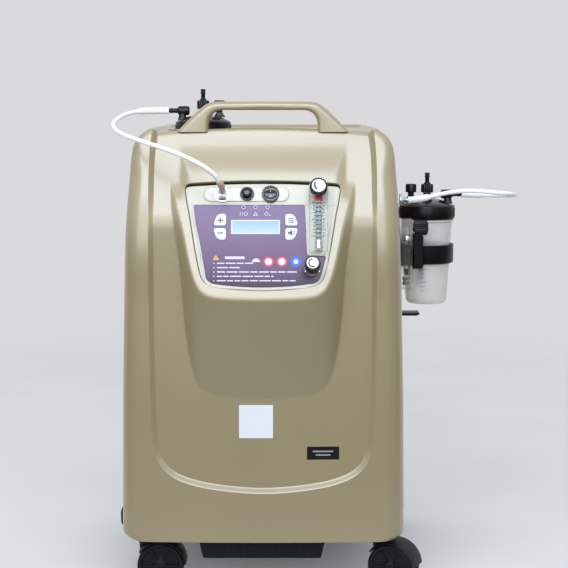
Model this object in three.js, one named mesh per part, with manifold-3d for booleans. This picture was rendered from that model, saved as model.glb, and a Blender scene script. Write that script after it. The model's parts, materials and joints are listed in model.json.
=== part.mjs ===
// Oxygen concentrator on casters: a tapered two-piece cabinet with a raised control console,
// a carry handle, two humidifier bottles, two flow meters and the machinery inside.
// Millimetres, +Z up, +X to the right and -Y towards someone who faces the control panel.
import * as THREE from 'three';
import { mergeVertices } from 'three/addons/utils/BufferGeometryUtils.js';
import Module from 'manifold-3d';

const wasm = await Module();
wasm.setup();

// ---- driving dimensions: cabinet ----
const FRONT_Y = -195;
const REAR_Y = 190;
const PART_LINE_Y = 10;
const CABINET_BOTTOM = 76;
const CABINET_TOP = 640;
const DECK_TOP = 636;
const BEND_Z = 519;
const LEAN_DEG = 22;
const WALL = 3;
const FIELD_DEPTH = 6;
const GAP = 0.3;
const CORNER_R = 24;

// ---- console, panel and what is mounted on it ----
const LIP_V = -110;
const PANEL_BACK = -6.3;
const PANEL_FACE = -3.3;
const OVERLAY_FACE = -2.4;
const PLATE_FACE = -1.4;
const CONTROL_ROW_V = 37;
const KEY_ROW_V = [1.5, -19];
const KEY_COLUMN_U = [-57.8, 39.3];
const METER_U = 74.7;
const METER_KNOB_V = 40;
const METER_PORTS_V = [-30, 36];
const LOCK_AT = [66.3, -66.8];

// ---- right wall: side bottle, side flow meter ----
const SIDE_BOTTLE = [232.5, -60, 530];
const TOP_BOTTLE = [-86.3, -50, 648];
const SIDE_METER_Y = -125;
const SIDE_METER_KNOB_Z = 503;
const SIDE_METER_PORT_Z = 434;
const SIDE_NOZZLE_AT = [-108, 540];

// ---- humidifier bottle ----
const JAR_TOP_R = 36;
const JAR_FOOT_R = 29;
const JAR_HEIGHT = 140;
const LID_R = 39.4;
const ELBOW_REACH = 30;
const ELBOW_Z = 15.5;
const BOTTLE_SIDES = 28;

// ---- casters ----
const WHEEL_R = 32.5;
const WHEEL_WIDTH = 15;
const CASTER_X = 164;
const CASTER_Y = 150;
const CASTER_TRAIL = 20;

const lean = THREE.MathUtils.degToRad(LEAN_DEG);
const V2 = (x, y) => new THREE.Vector2(x, y);

// ---------------------------------------------------------------- solids and booleans

function toSolid(geometry) {
  const bare = geometry.clone();
  bare.deleteAttribute('normal');
  bare.deleteAttribute('uv');
  const merged = mergeVertices(bare, 1e-3);
  const index = Array.from(merged.index.array);
  const triangles = [];
  for (let i = 0; i < index.length; i += 3) {
    const [a, b, c] = [index[i], index[i + 1], index[i + 2]];
    if (a !== b && b !== c && a !== c) {
      triangles.push(a, b, c);
    }
  }
  return new wasm.Manifold(new wasm.Mesh({
    numProp: 3,
    vertProperties: new Float32Array(merged.attributes.position.array),
    triVerts: new Uint32Array(triangles),
  }));
}

function toGeometry(solid) {
  const mesh = solid.getMesh();
  const geometry = new THREE.BufferGeometry();
  geometry.setAttribute('position', new THREE.BufferAttribute(new Float32Array(mesh.vertProperties), 3));
  geometry.setIndex(new THREE.BufferAttribute(new Uint32Array(mesh.triVerts), 1));
  return geometry;
}

function join(...solids) {
  return solids.reduce((sum, next) => sum.add(next));
}

function cut(body, ...tools) {
  return tools.reduce((left, tool) => left.subtract(tool), body);
}

// Moves a solid by a 4 x 4 matrix.
function place(solid, matrix) {
  const geometry = toGeometry(solid);
  geometry.applyMatrix4(matrix);
  return toSolid(geometry);
}

const shift = (x, y, z) => new THREE.Matrix4().makeTranslation(x, y, z);
const turnX = (deg) => new THREE.Matrix4().makeRotationX(THREE.MathUtils.degToRad(deg));
const turnY = (deg) => new THREE.Matrix4().makeRotationY(THREE.MathUtils.degToRad(deg));
const turnZ = (deg) => new THREE.Matrix4().makeRotationZ(THREE.MathUtils.degToRad(deg));

function box(x0, x1, y0, y1, z0, z1) {
  const geometry = new THREE.BoxGeometry(x1 - x0, y1 - y0, z1 - z0);
  geometry.translate((x0 + x1) / 2, (y0 + y1) / 2, (z0 + z1) / 2);
  return toSolid(geometry);
}

// An outline in X and Y, raised from z0 to z1.
function prismZ(points, z0, z1, holes = []) {
  const shape = new THREE.Shape(points);
  shape.holes = holes.map((hole) => new THREE.Path(hole));
  const geometry = new THREE.ExtrudeGeometry(shape, { depth: z1 - z0, bevelEnabled: false });
  geometry.translate(0, 0, z0);
  return toSolid(geometry);
}

// An outline in X and Z, running from y0 to y1.
function prismY(points, y0, y1) {
  return place(prismZ(points, -y1, -y0), turnX(90));
}

// An outline in Y and Z, running from x0 to x1.
function prismX(points, x0, x1) {
  return place(prismZ(points, x0, x1), turnZ(90).multiply(turnX(90)));
}

// A turned piece about Z, from its half profile of [radius, height] pairs.
function turned(profile, segments = 24) {
  const geometry = new THREE.LatheGeometry(profile.map(([r, z]) => V2(r, z)), segments);
  geometry.rotateX(Math.PI / 2);
  return toSolid(geometry);
}

function rod(radius, z0, z1, segments = 16) {
  return turned([[0, z0], [radius, z0], [radius, z1], [0, z1]], segments);
}

function ring(inner, outer, z0, z1, segments = 28) {
  return turned([[inner, z0], [outer, z0], [outer, z1], [inner, z1], [inner, z0]], segments);
}

// A polygon with its corners rounded by short curves.
function rounded(corners, radius, steps = 3) {
  const points = [];
  corners.forEach(([x, y], i) => {
    const corner = V2(x, y);
    const before = V2(...corners[(i + corners.length - 1) % corners.length]);
    const after = V2(...corners[(i + 1) % corners.length]);
    const reach = Math.min(radius, corner.distanceTo(before) / 2.1, corner.distanceTo(after) / 2.1);
    const from = corner.clone().add(before.clone().sub(corner).setLength(reach));
    const to = corner.clone().add(after.clone().sub(corner).setLength(reach));
    const curve = new THREE.QuadraticBezierCurve(from, corner, to);
    points.push(...curve.getPoints(steps));
  });
  return points;
}

function rectangle(u0, u1, v0, v1) {
  return [[u0, v0], [u1, v0], [u1, v1], [u0, v1]];
}

// A closed outline from its right half, listed from bottom to top.
function mirrored(half) {
  const left = half.filter(([x]) => x > 0).map(([x, y]) => [-x, y]).reverse();
  return [...half, ...left];
}

function polygon(radius, count, u = 0, v = 0, startDeg = 0) {
  const points = [];
  for (let i = 0; i < count; i += 1) {
    const angle = THREE.MathUtils.degToRad(startDeg) + (i * 2 * Math.PI) / count;
    points.push(V2(u + radius * Math.cos(angle), v + radius * Math.sin(angle)));
  }
  return points;
}

// A grip outline with shallow flutes.
function fluted(radius, flutes, depth) {
  const points = [];
  for (let i = 0; i < flutes * 2; i += 1) {
    const r = i % 2 === 0 ? radius : radius - depth;
    const angle = (i * Math.PI) / flutes;
    points.push(V2(r * Math.cos(angle), r * Math.sin(angle)));
  }
  return points;
}

// The leaning console plane: u to the right, v up the slope, w out of the face.
const faceFrame = new THREE.Matrix4().makeBasis(
  new THREE.Vector3(1, 0, 0),
  new THREE.Vector3(0, Math.sin(lean), Math.cos(lean)),
  new THREE.Vector3(0, -Math.cos(lean), Math.sin(lean)),
).setPosition(0, FRONT_Y, BEND_Z);

const onFace = (solid) => place(solid, faceFrame);

// ---------------------------------------------------------------- cabinet

// Half width of the cabinet at each height, from the bottom chamfer to the top corner.
const HALF_WIDTHS = [
  [CABINET_BOTTOM, 181], [81, 190.5], [88, 195], [269, 192.5], [415, 189], [505, 186],
  [519, 185.2], [533, 184.4], [598, 180], [618, 176.5], [630, 169.5], [CABINET_TOP, 155],
];

function frontY(z) {
  return z <= BEND_Z ? FRONT_Y : FRONT_Y + (z - BEND_Z) * Math.tan(lean);
}

// The cabinet's outside, moved inwards by inset on the sides, front and top.
function cabinetSolid(sideInset, frontInset, topInset, bottomZ) {
  const rings = HALF_WIDTHS.map(([z, half], i) => {
    const level = i === 0 ? bottomZ : Math.min(z, CABINET_TOP) - (topInset * z) / CABINET_TOP;
    const crown = Math.max(0, level - 615) * 0.5;
    const x = half - sideInset;
    const y0 = frontY(level) + frontInset;
    const y1 = REAR_Y - sideInset - crown;
    const radius = Math.min(CORNER_R, x / 3);
    return { z: level, points: rounded(rectangle(-x, x, y0, y1), radius, 4) };
  });
  const count = rings[0].points.length;
  const positions = rings.flatMap((r) => r.points.flatMap((p) => [p.x, p.y, r.z]));
  const index = [];
  for (let level = 0; level + 1 < rings.length; level += 1) {
    for (let i = 0; i < count; i += 1) {
      const a = level * count + i;
      const b = level * count + ((i + 1) % count);
      index.push(a, b, b + count, a, b + count, a + count);
    }
  }
  for (const [ringStart, flip] of [[0, true], [(rings.length - 1) * count, false]]) {
    for (let i = 1; i + 1 < count; i += 1) {
      const fan = [ringStart, ringStart + i, ringStart + i + 1];
      index.push(...(flip ? fan.reverse() : fan));
    }
  }
  const geometry = new THREE.BufferGeometry();
  geometry.setAttribute('position', new THREE.Float32BufferAttribute(positions, 3));
  geometry.setIndex(index);
  return toSolid(geometry);
}

// The sunken field of the front, open at the top and rounded at the bottom.
function fieldPrism(grow) {
  const half = [[0, 144 - grow], [66, 149 - grow], [108, 159 - grow], [137, 178 - grow], [151 + grow, 208],
    [154 + grow, 250], [154 + grow, 590], [151 + grow, CABINET_TOP + 20]];
  return prismY(rounded(mirrored(half), 12, 3), FRONT_Y - 60, -60);
}

// Console outline seen from the front: lip corners, then the chin below.
const POD_HALF = [[0, 279], [74, 284], [88, 300], [96, 328], [101, 369], [104, 400], [107, 446],
  [112, 475], [117, 500], [121, 590]];

// Side view of the console, moved inwards by inset.
function podSolid(inset) {
  const lipZ = BEND_Z + LIP_V * Math.cos(lean);
  const lipY = FRONT_Y + LIP_V * Math.sin(lean);
  const side = [[FRONT_Y + 30, 281 + inset], [FRONT_Y + inset, 281 + inset], [lipY + inset + 1, lipZ + inset - 8],
    [lipY + inset, lipZ + inset], [FRONT_Y + inset / Math.cos(lean), BEND_Z],
    [FRONT_Y + inset / Math.cos(lean) + 26, BEND_Z + 26 / Math.tan(lean)], [FRONT_Y + 60, BEND_Z + 64]];
  const half = POD_HALF.map(([x, z]) => [Math.max(0, x - inset), z + (z < 300 ? inset : 0)]);
  const outline = mirrored(half).map(([x, z]) => V2(x, z));
  return prismX(side.map(([y, z]) => V2(y, z)), -130, 130).intersect(prismY(outline, FRONT_Y - 60, -100));
}

// Edge of the console opening, in the leaning plane.
const APERTURE = mirrored([[0, -98.5], [74, -91], [84, -79], [104.5, 42], [100, 51], [0, 56.5]]);

// The same outline, enlarged about its middle.
function enlarged(points, factor) {
  return points.map(([u, v]) => [u * factor, (v + 20) * factor - 20]);
}

// The cup in the deck that the top bottle stands in.
function bottleWell() {
  const cup = cut(
    join(rod(46, 494, DECK_TOP + 1, BOTTLE_SIDES), rod(50, DECK_TOP + GAP, DECK_TOP + 2, BOTTLE_SIDES)),
    rod(43, 497, DECK_TOP + 20, BOTTLE_SIDES),
  );
  return place(cup, shift(TOP_BOTTLE[0], TOP_BOTTLE[1], 0));
}

function cabinetShell() {
  const outside = cut(
    cabinetSolid(0, 0, 0, CABINET_BOTTOM),
    cut(fieldPrism(0), cabinetSolid(0, FIELD_DEPTH, 0, CABINET_BOTTOM - 10)),
    box(-148, 148, FRONT_Y - 60, REAR_Y - 25, DECK_TOP, CABINET_TOP + 10),
  );
  const inside = cut(
    cabinetSolid(WALL, WALL, 7, CABINET_BOTTOM - 10),
    cut(fieldPrism(WALL), cabinetSolid(0, FIELD_DEPTH + WALL, 0, CABINET_BOTTOM - 20)),
  );
  const wellHole = place(rod(46.4, 480, DECK_TOP + 20, BOTTLE_SIDES), shift(TOP_BOTTLE[0], TOP_BOTTLE[1], 0));
  return cut(join(outside, podSolid(0)), inside, podSolid(WALL), wellHole);
}

const shell = cabinetShell();
const faceHole = (radius, u, v, sides = 16) => prismZ(polygon(radius, sides, u, v), -60, 40);
const wallHole = (radius, y, z) => place(rod(radius, 150, 210, 16), shift(0, y, z).multiply(turnY(90)));

function frontShell() {
  const front = shell.intersect(box(-260, 260, -300, PART_LINE_Y - GAP / 2, 0, 700));
  return cut(
    front,
    onFace(prismZ(rounded(APERTURE, 6), -12, 6)),
    wallHole(5.4, SIDE_METER_Y, SIDE_METER_PORT_Z),
    wallHole(5.4, SIDE_METER_Y, SIDE_METER_KNOB_Z),
    wallHole(4.4, ...SIDE_NOZZLE_AT),
  );
}

function rearShell() {
  const rear = shell.intersect(box(-260, 260, PART_LINE_Y + GAP / 2, 260, 0, 700));
  return cut(
    rear,
    box(-72, 72, 170, 210, 380, 520),
    place(rod(52, 160, 210, 32), shift(0, 0, 230).multiply(turnX(-90))),
    box(96, 126, 170, 210, 118, 142),
  );
}

function carryHandle() {
  const outer = rounded([[118, DECK_TOP + GAP], [80, 673], [72, 676.5], [-72, 676.5], [-80, 673],
    [-118, DECK_TOP + GAP]], 8, 2);
  const inner = rounded(rectangle(-75, 75, DECK_TOP - 20, 665), 20, 4);
  const arch = cut(prismY(outer, -146, -104), prismY(inner, -160, -90));
  const topRound = prismX(rounded([[-147, 620], [-103, 620], [-103, 678], [-147, 678]], 1, 1), -130, 130);
  return arch.intersect(topRound);
}

// ---------------------------------------------------------------- chassis and casters

function baseChassis() {
  const deck = prismZ(rounded(rectangle(-180, 180, -182, 182), 16, 2), 80, 84);
  const skid = box(-108, 105, -178, -70, 70.5, 80.5);
  const pan = prismY([[-90, 71], [-84, 45], [80, 45], [86, 71]].map(([x, z]) => V2(x, z)), -172, -80);
  const sockets = [];
  const bores = [];
  for (const sx of [-1, 1]) {
    for (const sy of [-1, 1]) {
      const at = shift(sx * CASTER_X, sy * CASTER_Y, 0);
      sockets.push(place(rod(13, 71, 80.5, 16), at));
      bores.push(place(rod(6, 60, 90, 16), at));
    }
  }
  return cut(join(deck, skid, pan, ...sockets), ...bores);
}

// One caster with its swivel stem at the origin and its wheels trailing towards +X.
function casterFork() {
  const web = prismY([[-6, 69], [10, 69.5], [40, 62], [46, 44], [34, 26], [8, 26], [-4, 44]]
    .map(([x, z]) => V2(x, z)), -2.5, 2.5);
  const wheelAt = shift(CASTER_TRAIL, 0, WHEEL_R);
  const hood = place(
    place(ring(WHEEL_R + 1, WHEEL_R + 3.5, -20, 20, 28), turnX(90)).intersect(
      prismY([[0, 0], [60, 4], [60, 60], [-38, 60], [-38, 26]].map(([x, z]) => V2(x, z)), -25, 25),
    ),
    wheelAt,
  );
  const stem = rod(5.5, 66, 82, 16);
  const collar = rod(11, 62, 70.7, 16);
  const room = place(place(rod(WHEEL_R + 1, 2.8, 30, 28), turnX(90)), wheelAt);
  const mirrorRoom = place(place(rod(WHEEL_R + 1, -30, -2.8, 28), turnX(90)), wheelAt);
  const axleBore = place(place(rod(5.1, -10, 10, 16), turnX(90)), wheelAt);
  return cut(join(cut(join(web, stem, collar), room, mirrorRoom), hood), axleBore);
}

function casterWheels() {
  const side = WHEEL_WIDTH + 3.2;
  const profile = [[0, 3.2], [WHEEL_R, 3.2], [WHEEL_R, side - 3], [WHEEL_R - 3, side], [0, side]];
  const wheel = turned(profile, 28);
  const other = place(wheel, turnX(180));
  return place(place(join(wheel, other, rod(5, -4, 4, 16)), turnX(90)), shift(CASTER_TRAIL, 0, WHEEL_R));
}

// ---------------------------------------------------------------- control panel

function controlPanel() {
  const plate = prismZ(rounded(enlarged(APERTURE, 1.06), 8), PANEL_BACK, PANEL_FACE);
  const keyHoles = [];
  for (const u of KEY_COLUMN_U) {
    for (const v of KEY_ROW_V) {
      keyHoles.push(prismZ(rectangle(u - 6, u + 6, v - 6, v + 6).map(([x, y]) => V2(x, y)), -20, 10));
    }
  }
  return cut(
    plate,
    faceHole(6.4, -54.2, CONTROL_ROW_V),
    faceHole(6.4, -21.1, CONTROL_ROW_V),
    faceHole(10.4, 10.5, CONTROL_ROW_V),
    prismZ(rectangle(-42, 23, -18.5, 1).map(([x, y]) => V2(x, y)), -20, 10),
    faceHole(5.4, METER_U, METER_PORTS_V[0]),
    faceHole(5.4, METER_U, METER_PORTS_V[1]),
    faceHole(7.4, ...LOCK_AT),
    ...keyHoles,
  );
}

// Overlay sheet, with a notch at the right for the flow meter.
const OVERLAY = [[-67.3, -87.3], [-40, -90.5], [0, -92.2], [40, -90.4], [70.6, -86.6], [76.7, -81],
  [85.1, -49], [59.2, -48], [56.8, 22.7], [-93.3, 22.7], [-89.3, -5.8], [-84.2, -28.2], [-74.8, -81]];

// Rounded key outline with one corner drawn out, as on a four-petal pad.
function keyOutline(sideU, sideV, grow) {
  const w = 9 + grow;
  const h = 8.6 + grow;
  return rounded([[-w * sideU, -h * sideV], [w * sideU * 0.98, -h * sideV], [w * sideU * 0.35, h * sideV * 0.9],
    [-w * sideU, h * sideV]].map(([u, v]) => [u, v]), 5, 3);
}

function forEachKey(make) {
  return KEY_COLUMN_U.flatMap((u, column) => KEY_ROW_V.map((v, row) => {
    const outline = (grow) => {
      const points = keyOutline(column === 0 ? -1 : 1, row === 0 ? 1 : -1, grow).map((p) => V2(p.x + u, p.y + v));
      return THREE.ShapeUtils.area(points) < 0 ? points.reverse() : points;
    };
    return make(outline, u, v);
  }));
}

function panelOverlay() {
  const sheet = prismZ(rounded(OVERLAY, 3, 2), PANEL_FACE + GAP, OVERLAY_FACE);
  const windows = forEachKey((outline) => prismZ(outline(0.6), -20, 10));
  return cut(
    sheet,
    prismZ(rectangle(-42.6, 23.5, -19.1, 1.4).map(([x, y]) => V2(x, y)), -20, 10),
    faceHole(11.3, ...LOCK_AT),
    ...windows,
  );
}

function keyCap(outline, u, v) {
  const cap = prismZ(outline(0), OVERLAY_FACE - 0.2, -0.9);
  const plunger = box(u - 4, u + 4, v - 4, v + 4, -9, OVERLAY_FACE - 0.1);
  return join(cap, plunger);
}

function lcdModule() {
  const frame = prismZ(rectangle(-42.3, 23.2, -18.8, 1.1).map(([x, y]) => V2(x, y)), PANEL_FACE + GAP, -2.1);
  const body = prismZ(rectangle(-40.5, 21.5, -17.2, -0.5).map(([x, y]) => V2(x, y)), -14, -2.6);
  const board = prismZ(rectangle(-46, 27, -22, 4).map(([x, y]) => V2(x, y)), -16, PANEL_BACK - GAP - 1);
  return join(frame, body, board);
}

function outletPlate() {
  const [u0, u1] = [-79.6, 35.4];
  const r = 10.5;
  const outline = [];
  for (let i = 0; i <= 8; i += 1) {
    const angle = -Math.PI / 2 + (i * Math.PI) / 8;
    outline.push(V2(u1 - r + r * Math.cos(angle), CONTROL_ROW_V + r * Math.sin(angle)));
  }
  for (let i = 0; i <= 8; i += 1) {
    const angle = Math.PI / 2 + (i * Math.PI) / 8;
    outline.push(V2(u0 + r + r * Math.cos(angle), CONTROL_ROW_V + r * Math.sin(angle)));
  }
  const breakerRing = place(rod(9.4, PANEL_FACE + GAP, 2.6, 20), shift(-21.1, CONTROL_ROW_V, 0));
  return cut(
    join(prismZ(outline, PANEL_FACE + GAP, PLATE_FACE), breakerRing),
    faceHole(5.4, -54.2, CONTROL_ROW_V),
    faceHole(6.4, -21.1, CONTROL_ROW_V),
    faceHole(9.9, 10.5, CONTROL_ROW_V),
  );
}

function frontNozzle() {
  const nut = prismZ(polygon(10.2, 6, 0, 0, 0), PLATE_FACE + GAP, 4);
  const spigot = turned([[0, -18], [5, -18], [5, 3.9], [6.5, 3.9], [6, 7], [3.2, 8], [3, 17], [0, 17]], 20);
  return place(join(nut, spigot), shift(-54.2, CONTROL_ROW_V, 0));
}

function breakerButton() {
  const profile = [[0, -22], [5.9, -22], [5.9, 4.4], [5.2, 6], [3.4, 7], [0, 7.4]];
  return place(turned(profile, 20), shift(-21.1, CONTROL_ROW_V, 0));
}

function rockerBezel() {
  const flange = ring(8.6, 11.9, PLATE_FACE + GAP, 1.6, 24);
  const barrel = ring(8.6, 9.7, -20, 0, 24);
  return place(join(flange, barrel), shift(10.5, CONTROL_ROW_V, 0));
}

function powerRocker() {
  const oval = place(rod(8.3, -6, 6, 24), new THREE.Matrix4().makeScale(1, 0.84, 1));
  const crown = prismX([[-8.4, -5], [8.4, -5], [8.4, 0.6], [0, 2], [-8.4, 3.4]].map(([v, w]) => V2(v, w)), -9, 9);
  return place(oval.intersect(crown), shift(10.5, CONTROL_ROW_V, 0));
}

// ---------------------------------------------------------------- flow meters

// Clear block standing on Z = 0, meter tube along Y, ports on the back.
function flowBlock(bottom, top, knobAt, depth, portAt, portReach) {
  const body = prismZ(rounded(rectangle(-12.4, 12.4, bottom, top), 3, 2), 0, depth);
  const boss = place(rod(6.2, 0, depth + 3), shift(0, knobAt, 0));
  const topPort = place(rod(4.8, -portReach, 1), shift(0, portAt[1], 0));
  const lowPort = place(rod(4.8, -portReach, 1), shift(0, portAt[0], 0));
  const tube = place(rod(4.2, -portAt[1], -portAt[0], 16), shift(0, 0, depth / 2).multiply(turnX(90)));
  const bores = portAt.map((v) => place(rod(1.6, -portReach - 5, depth / 2, 10), shift(0, v, 0)));
  return cut(join(body, boss, topPort, lowPort), tube, ...bores);
}

function flowFloat(v, depth) {
  const float = turned([[0, -4], [2.4, -3], [2.4, 1.5], [3.8, 4], [3.8, 5], [0, 5]], 12);
  return place(float, shift(0, v, depth / 2).multiply(turnX(-90)));
}

function flowKnob(radius, height) {
  const grip = prismZ(fluted(radius, 20, 0.9), 0, height - 2);
  const cap = turned([[0, height - 2.5], [radius - 2, height - 2.5], [radius - 2.4, height - 0.4],
    [radius - 3.4, height], [0, height]], 24);
  return join(grip, cap);
}

const FRONT_METER_W = PANEL_FACE + GAP;
const FRONT_METER_DEPTH = 15;
const frontMeter = shift(METER_U, 0, FRONT_METER_W);

// ---------------------------------------------------------------- right wall

const SIDE_METER_X = 190;
const sideMeterFrame = new THREE.Matrix4().makeBasis(
  new THREE.Vector3(0, 1, 0),
  new THREE.Vector3(0, 0, 1),
  new THREE.Vector3(1, 0, 0),
).setPosition(SIDE_METER_X, SIDE_METER_Y, 0);

function sideNozzle() {
  const nut = prismZ(polygon(6.8, 6), 0, 4.5);
  const spigot = turned([[0, -14], [4, -14], [4, 4.4], [4.6, 4.5], [4.2, 6.5], [3.2, 7], [3, 16], [0, 16]], 20);
  return place(join(nut, spigot), shift(185.2, ...SIDE_NOZZLE_AT).multiply(turnY(90)));
}

function bottleBracket() {
  const [x, y, top] = SIDE_BOTTLE;
  const band = place(turned([[32.7, top - 82], [38.2, top - 82], [38.6, top - 55], [34.3, top - 55],
    [32.7, top - 82]], BOTTLE_SIDES), shift(x, y, 0));
  const backPlate = box(189.5, 194.2, y - 40, y + 40, top - 90, top - 45);
  const web = box(192, 206, y - 30, y + 30, top - 80, top - 57);
  const post = box(208, 224, y - 44, y - 37, top - 87, top - 37);
  const postRoot = box(192, 212, y - 44, y - 38, top - 82, top - 57);
  const jarRoom = place(turned([[0, top - 120], [32.6, top - 120], [32.7, top - 82], [34.3, top - 55],
    [36.2, top - 30], [0, top - 30]], BOTTLE_SIDES), shift(x, y, 0));
  return cut(join(band, backPlate, web, post, postRoot), jarRoom);
}

// ---------------------------------------------------------------- humidifier bottle

const JAR_WALL = 2;

function bottleJar() {
  const foot = -JAR_HEIGHT;
  return turned([
    [0, foot], [JAR_FOOT_R - 3, foot], [JAR_FOOT_R, foot + 4], [JAR_TOP_R - 0.6, -30], [JAR_TOP_R - 0.4, -23],
    [34, -22.8], [34, -5], [34 - JAR_WALL, -5], [34 - JAR_WALL, -24], [JAR_TOP_R - JAR_WALL - 1, -31],
    [JAR_FOOT_R - JAR_WALL, foot + 5], [JAR_FOOT_R - JAR_WALL - 3, foot + JAR_WALL], [0, foot + JAR_WALL],
  ], BOTTLE_SIDES);
}

function bottleLid() {
  const cap = turned([[0, -3], [34.5, -3], [34.5, -18.8], [LID_R - 0.4, -18.8], [LID_R, -16], [LID_R, -1.5],
    [LID_R - 1.5, 0], [30, 4.5], [18, 8.4], [0, 10]], BOTTLE_SIDES);
  const boss = rod(5.5, 0, 17.5, 16);
  const reliefBoss = place(rod(6, 0, 12, 16), shift(-23, 0, 0));
  const elbowBoss = place(rod(6, 0, 6.5), shift(ELBOW_REACH, 0, 0));
  const dipTube = place(rod(4.6, -106, -2, 14), shift(-8, 0, 0));
  const diffuser = place(rod(6.4, -118, -105, 14), shift(-8, 0, 0));
  return join(cap, boss, reliefBoss, elbowBoss, dipTube, diffuser);
}

function outletNut() {
  const nut = prismZ(fluted(8.7, 16, 0.7), 17.8, 30);
  const barb = turned([[0, 29.9], [4.6, 29.9], [3.4, 32], [3, 40], [3.8, 41], [3, 46], [0, 46]], 16);
  return join(nut, barb);
}

function reliefCap() {
  const profile = [[0, 12.3], [4.4, 12.3], [4.4, 18], [7.8, 18.2], [7.6, 30], [0, 30]];
  return place(turned(profile, 20), shift(-23, 0, 0));
}

function inletElbow() {
  const leg = place(rod(5, 6.8, 14), shift(ELBOW_REACH, 0, 0));
  const body = place(rod(6.6, 19, 35.5), shift(0, 0, ELBOW_Z).multiply(turnY(90)));
  const stub = place(turned([[0, 35], [4.4, 35], [3.6, 37], [3.2, 44], [3.8, 45], [3, 49], [0, 49]], 14),
    shift(0, 0, ELBOW_Z).multiply(turnY(90)));
  return cut(join(leg, body, stub), place(rod(9, 0, 30, 16), shift(0, 0, 0)).intersect(box(-9, 18.9, -9, 9, 0, 30)));
}

// ---------------------------------------------------------------- hoses

const HOSE_R = 3.6;
const HOSE_SIDES = 8;

function hose(route, steps) {
  const curve = new THREE.CatmullRomCurve3(route.map((p) => new THREE.Vector3(...p)), false, 'centripetal');
  const geometry = new THREE.ExtrudeGeometry(new THREE.Shape(polygon(HOSE_R, HOSE_SIDES)),
    { extrudePath: curve, steps, bevelEnabled: false });
  return toSolid(geometry);
}

const FRONT_HOSE_ROUTE = [
  [-54.2, -197.4, 559.9], [-54.2, -206, 563.6], [-56, -217, 570], [-62, -226, 580], [-76, -231, 592],
  [-100, -230.5, 604.5], [-128, -222.5, 615], [-157, -206.5, 623.5], [-183, -182, 631], [-200, -153, 638.5],
  [-206, -123, 646.5], [-201, -95, 654], [-189, -73, 660], [-171, -58, 663], [-152, -51.5, 663.5],
  [-135.7, -50, 663.5],
];

const SIDE_HOSE_ROUTE = [
  [201.7, -108, 540], [215, -108.4, 541.2], [231, -110.6, 544.6], [247, -114.2, 548.8], [264, -118, 552],
  [281, -120.7, 553.6], [301, -121.6, 553.2], [322, -121.6, 551.2], [332.6, -119.7, 550.2], [341.9, -114.3, 549.2],
  [348.8, -106.1, 548], [352.5, -96, 546.8], [352.5, -85.2, 545.7], [348.8, -75.1, 544.8], [341.9, -66.9, 544.1],
  [332.6, -61.5, 543.8], [322, -59.6, 543.9], [303, -59.6, 544.6], [281.9, -60, 545.5],
];

// ---------------------------------------------------------------- small wall fittings

function cordHook() {
  const peg = prismY(rounded(rectangle(194.4, 222.5, 372, 376.2), 1.4, 1), -74, -46);
  const pad = box(191.6, 195, -78, -42, 362, 386);
  return join(peg, pad);
}

function sideBumper() {
  const outline = rounded([[-201.6, 86], [-201.6, 104], [-198, 110], [-196, 110], [-196, 80], [-198, 80]], 2, 2);
  return prismY(outline, -138, -102);
}

// ---------------------------------------------------------------- rear wall and inside

function filterDoor() {
  const slots = [];
  for (let i = 0; i < 5; i += 1) {
    slots.push(box(-52, 52, 180, 200, 404 + i * 21, 412 + i * 21));
  }
  const panel = box(-71.5, 71.5, 186.6, 190, 380.5, 519.5);
  const edges = cut(box(-68, 68, 180, 187, 384, 516), box(-65, 65, 170, 190, 387, 513));
  return cut(join(panel, edges), ...slots);
}

function intakeFilter() {
  return box(-64.5, 64.5, 173, 186, 387.5, 512.5);
}

function powerInlet() {
  const flange = box(92, 130, REAR_Y + GAP, REAR_Y + 3, 114, 146);
  const body = box(97, 125, 160, REAR_Y + 1, 119, 141);
  const socket = box(100, 122, 172, REAR_Y + 10, 122, 138);
  const pins = [[105, 126], [111, 130], [117, 126]].map(([x, z]) => box(x - 1, x + 1, 170, 186, z, z + 3));
  return join(cut(join(flange, body), socket), ...pins);
}

const DECK_Z = 84 + GAP;
const FAN_Z = 230;
const FAN_Y = 150;

const fanAt = shift(0, FAN_Y, FAN_Z).multiply(turnX(-90));

function fanFrame() {
  const spokes = [];
  for (let i = 0; i < 4; i += 1) {
    spokes.push(place(box(10, 48, -2, 2, 30, 34), turnZ(45 + i * 90)));
  }
  const round = join(ring(44, 50, 0, 34, 24), rod(14, 30, 34), ring(27.8, 30.2, 30, 34, 24), ...spokes);
  const foot = box(-30, 30, FAN_Y + 4, FAN_Y + 14, DECK_Z, FAN_Z - 46);
  return join(place(cut(round, rod(2.1, 0, 60, 12)), fanAt), foot);
}

function fanRotor() {
  const hub = rod(13, 4, 26, 16);
  const shaft = rod(2, 20, 33, 12);
  const blades = [];
  for (let i = 0; i < 7; i += 1) {
    const blade = place(box(11, 41, -1.2, 1.2, -9, 9), turnX(38));
    blades.push(place(blade, shift(0, 0, 15).multiply(turnZ((i * 360) / 7))));
  }
  return place(join(hub, shaft, ...blades), fanAt);
}

function compressor() {
  const base = box(-80, 80, -60, 60, DECK_Z, DECK_Z + 8);
  const footAt = [[-60, -40], [60, -40], [-60, 40], [60, 40]];
  const feet = footAt.map(([x, y]) => place(rod(9, DECK_Z, DECK_Z + 24), shift(x, y, 0)));
  const crank = box(-72, 72, -42, 42, DECK_Z + 22, DECK_Z + 96);
  const motor = place(rod(44, -60, 60, 24), shift(0, 0, DECK_Z + 62).multiply(turnY(90)));
  const heads = [-58, 58].map((x) => place(rod(28, DECK_Z + 90, DECK_Z + 138, 20), shift(x, 0, 0)));
  return join(base, ...feet, crank, motor, ...heads);
}

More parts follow.
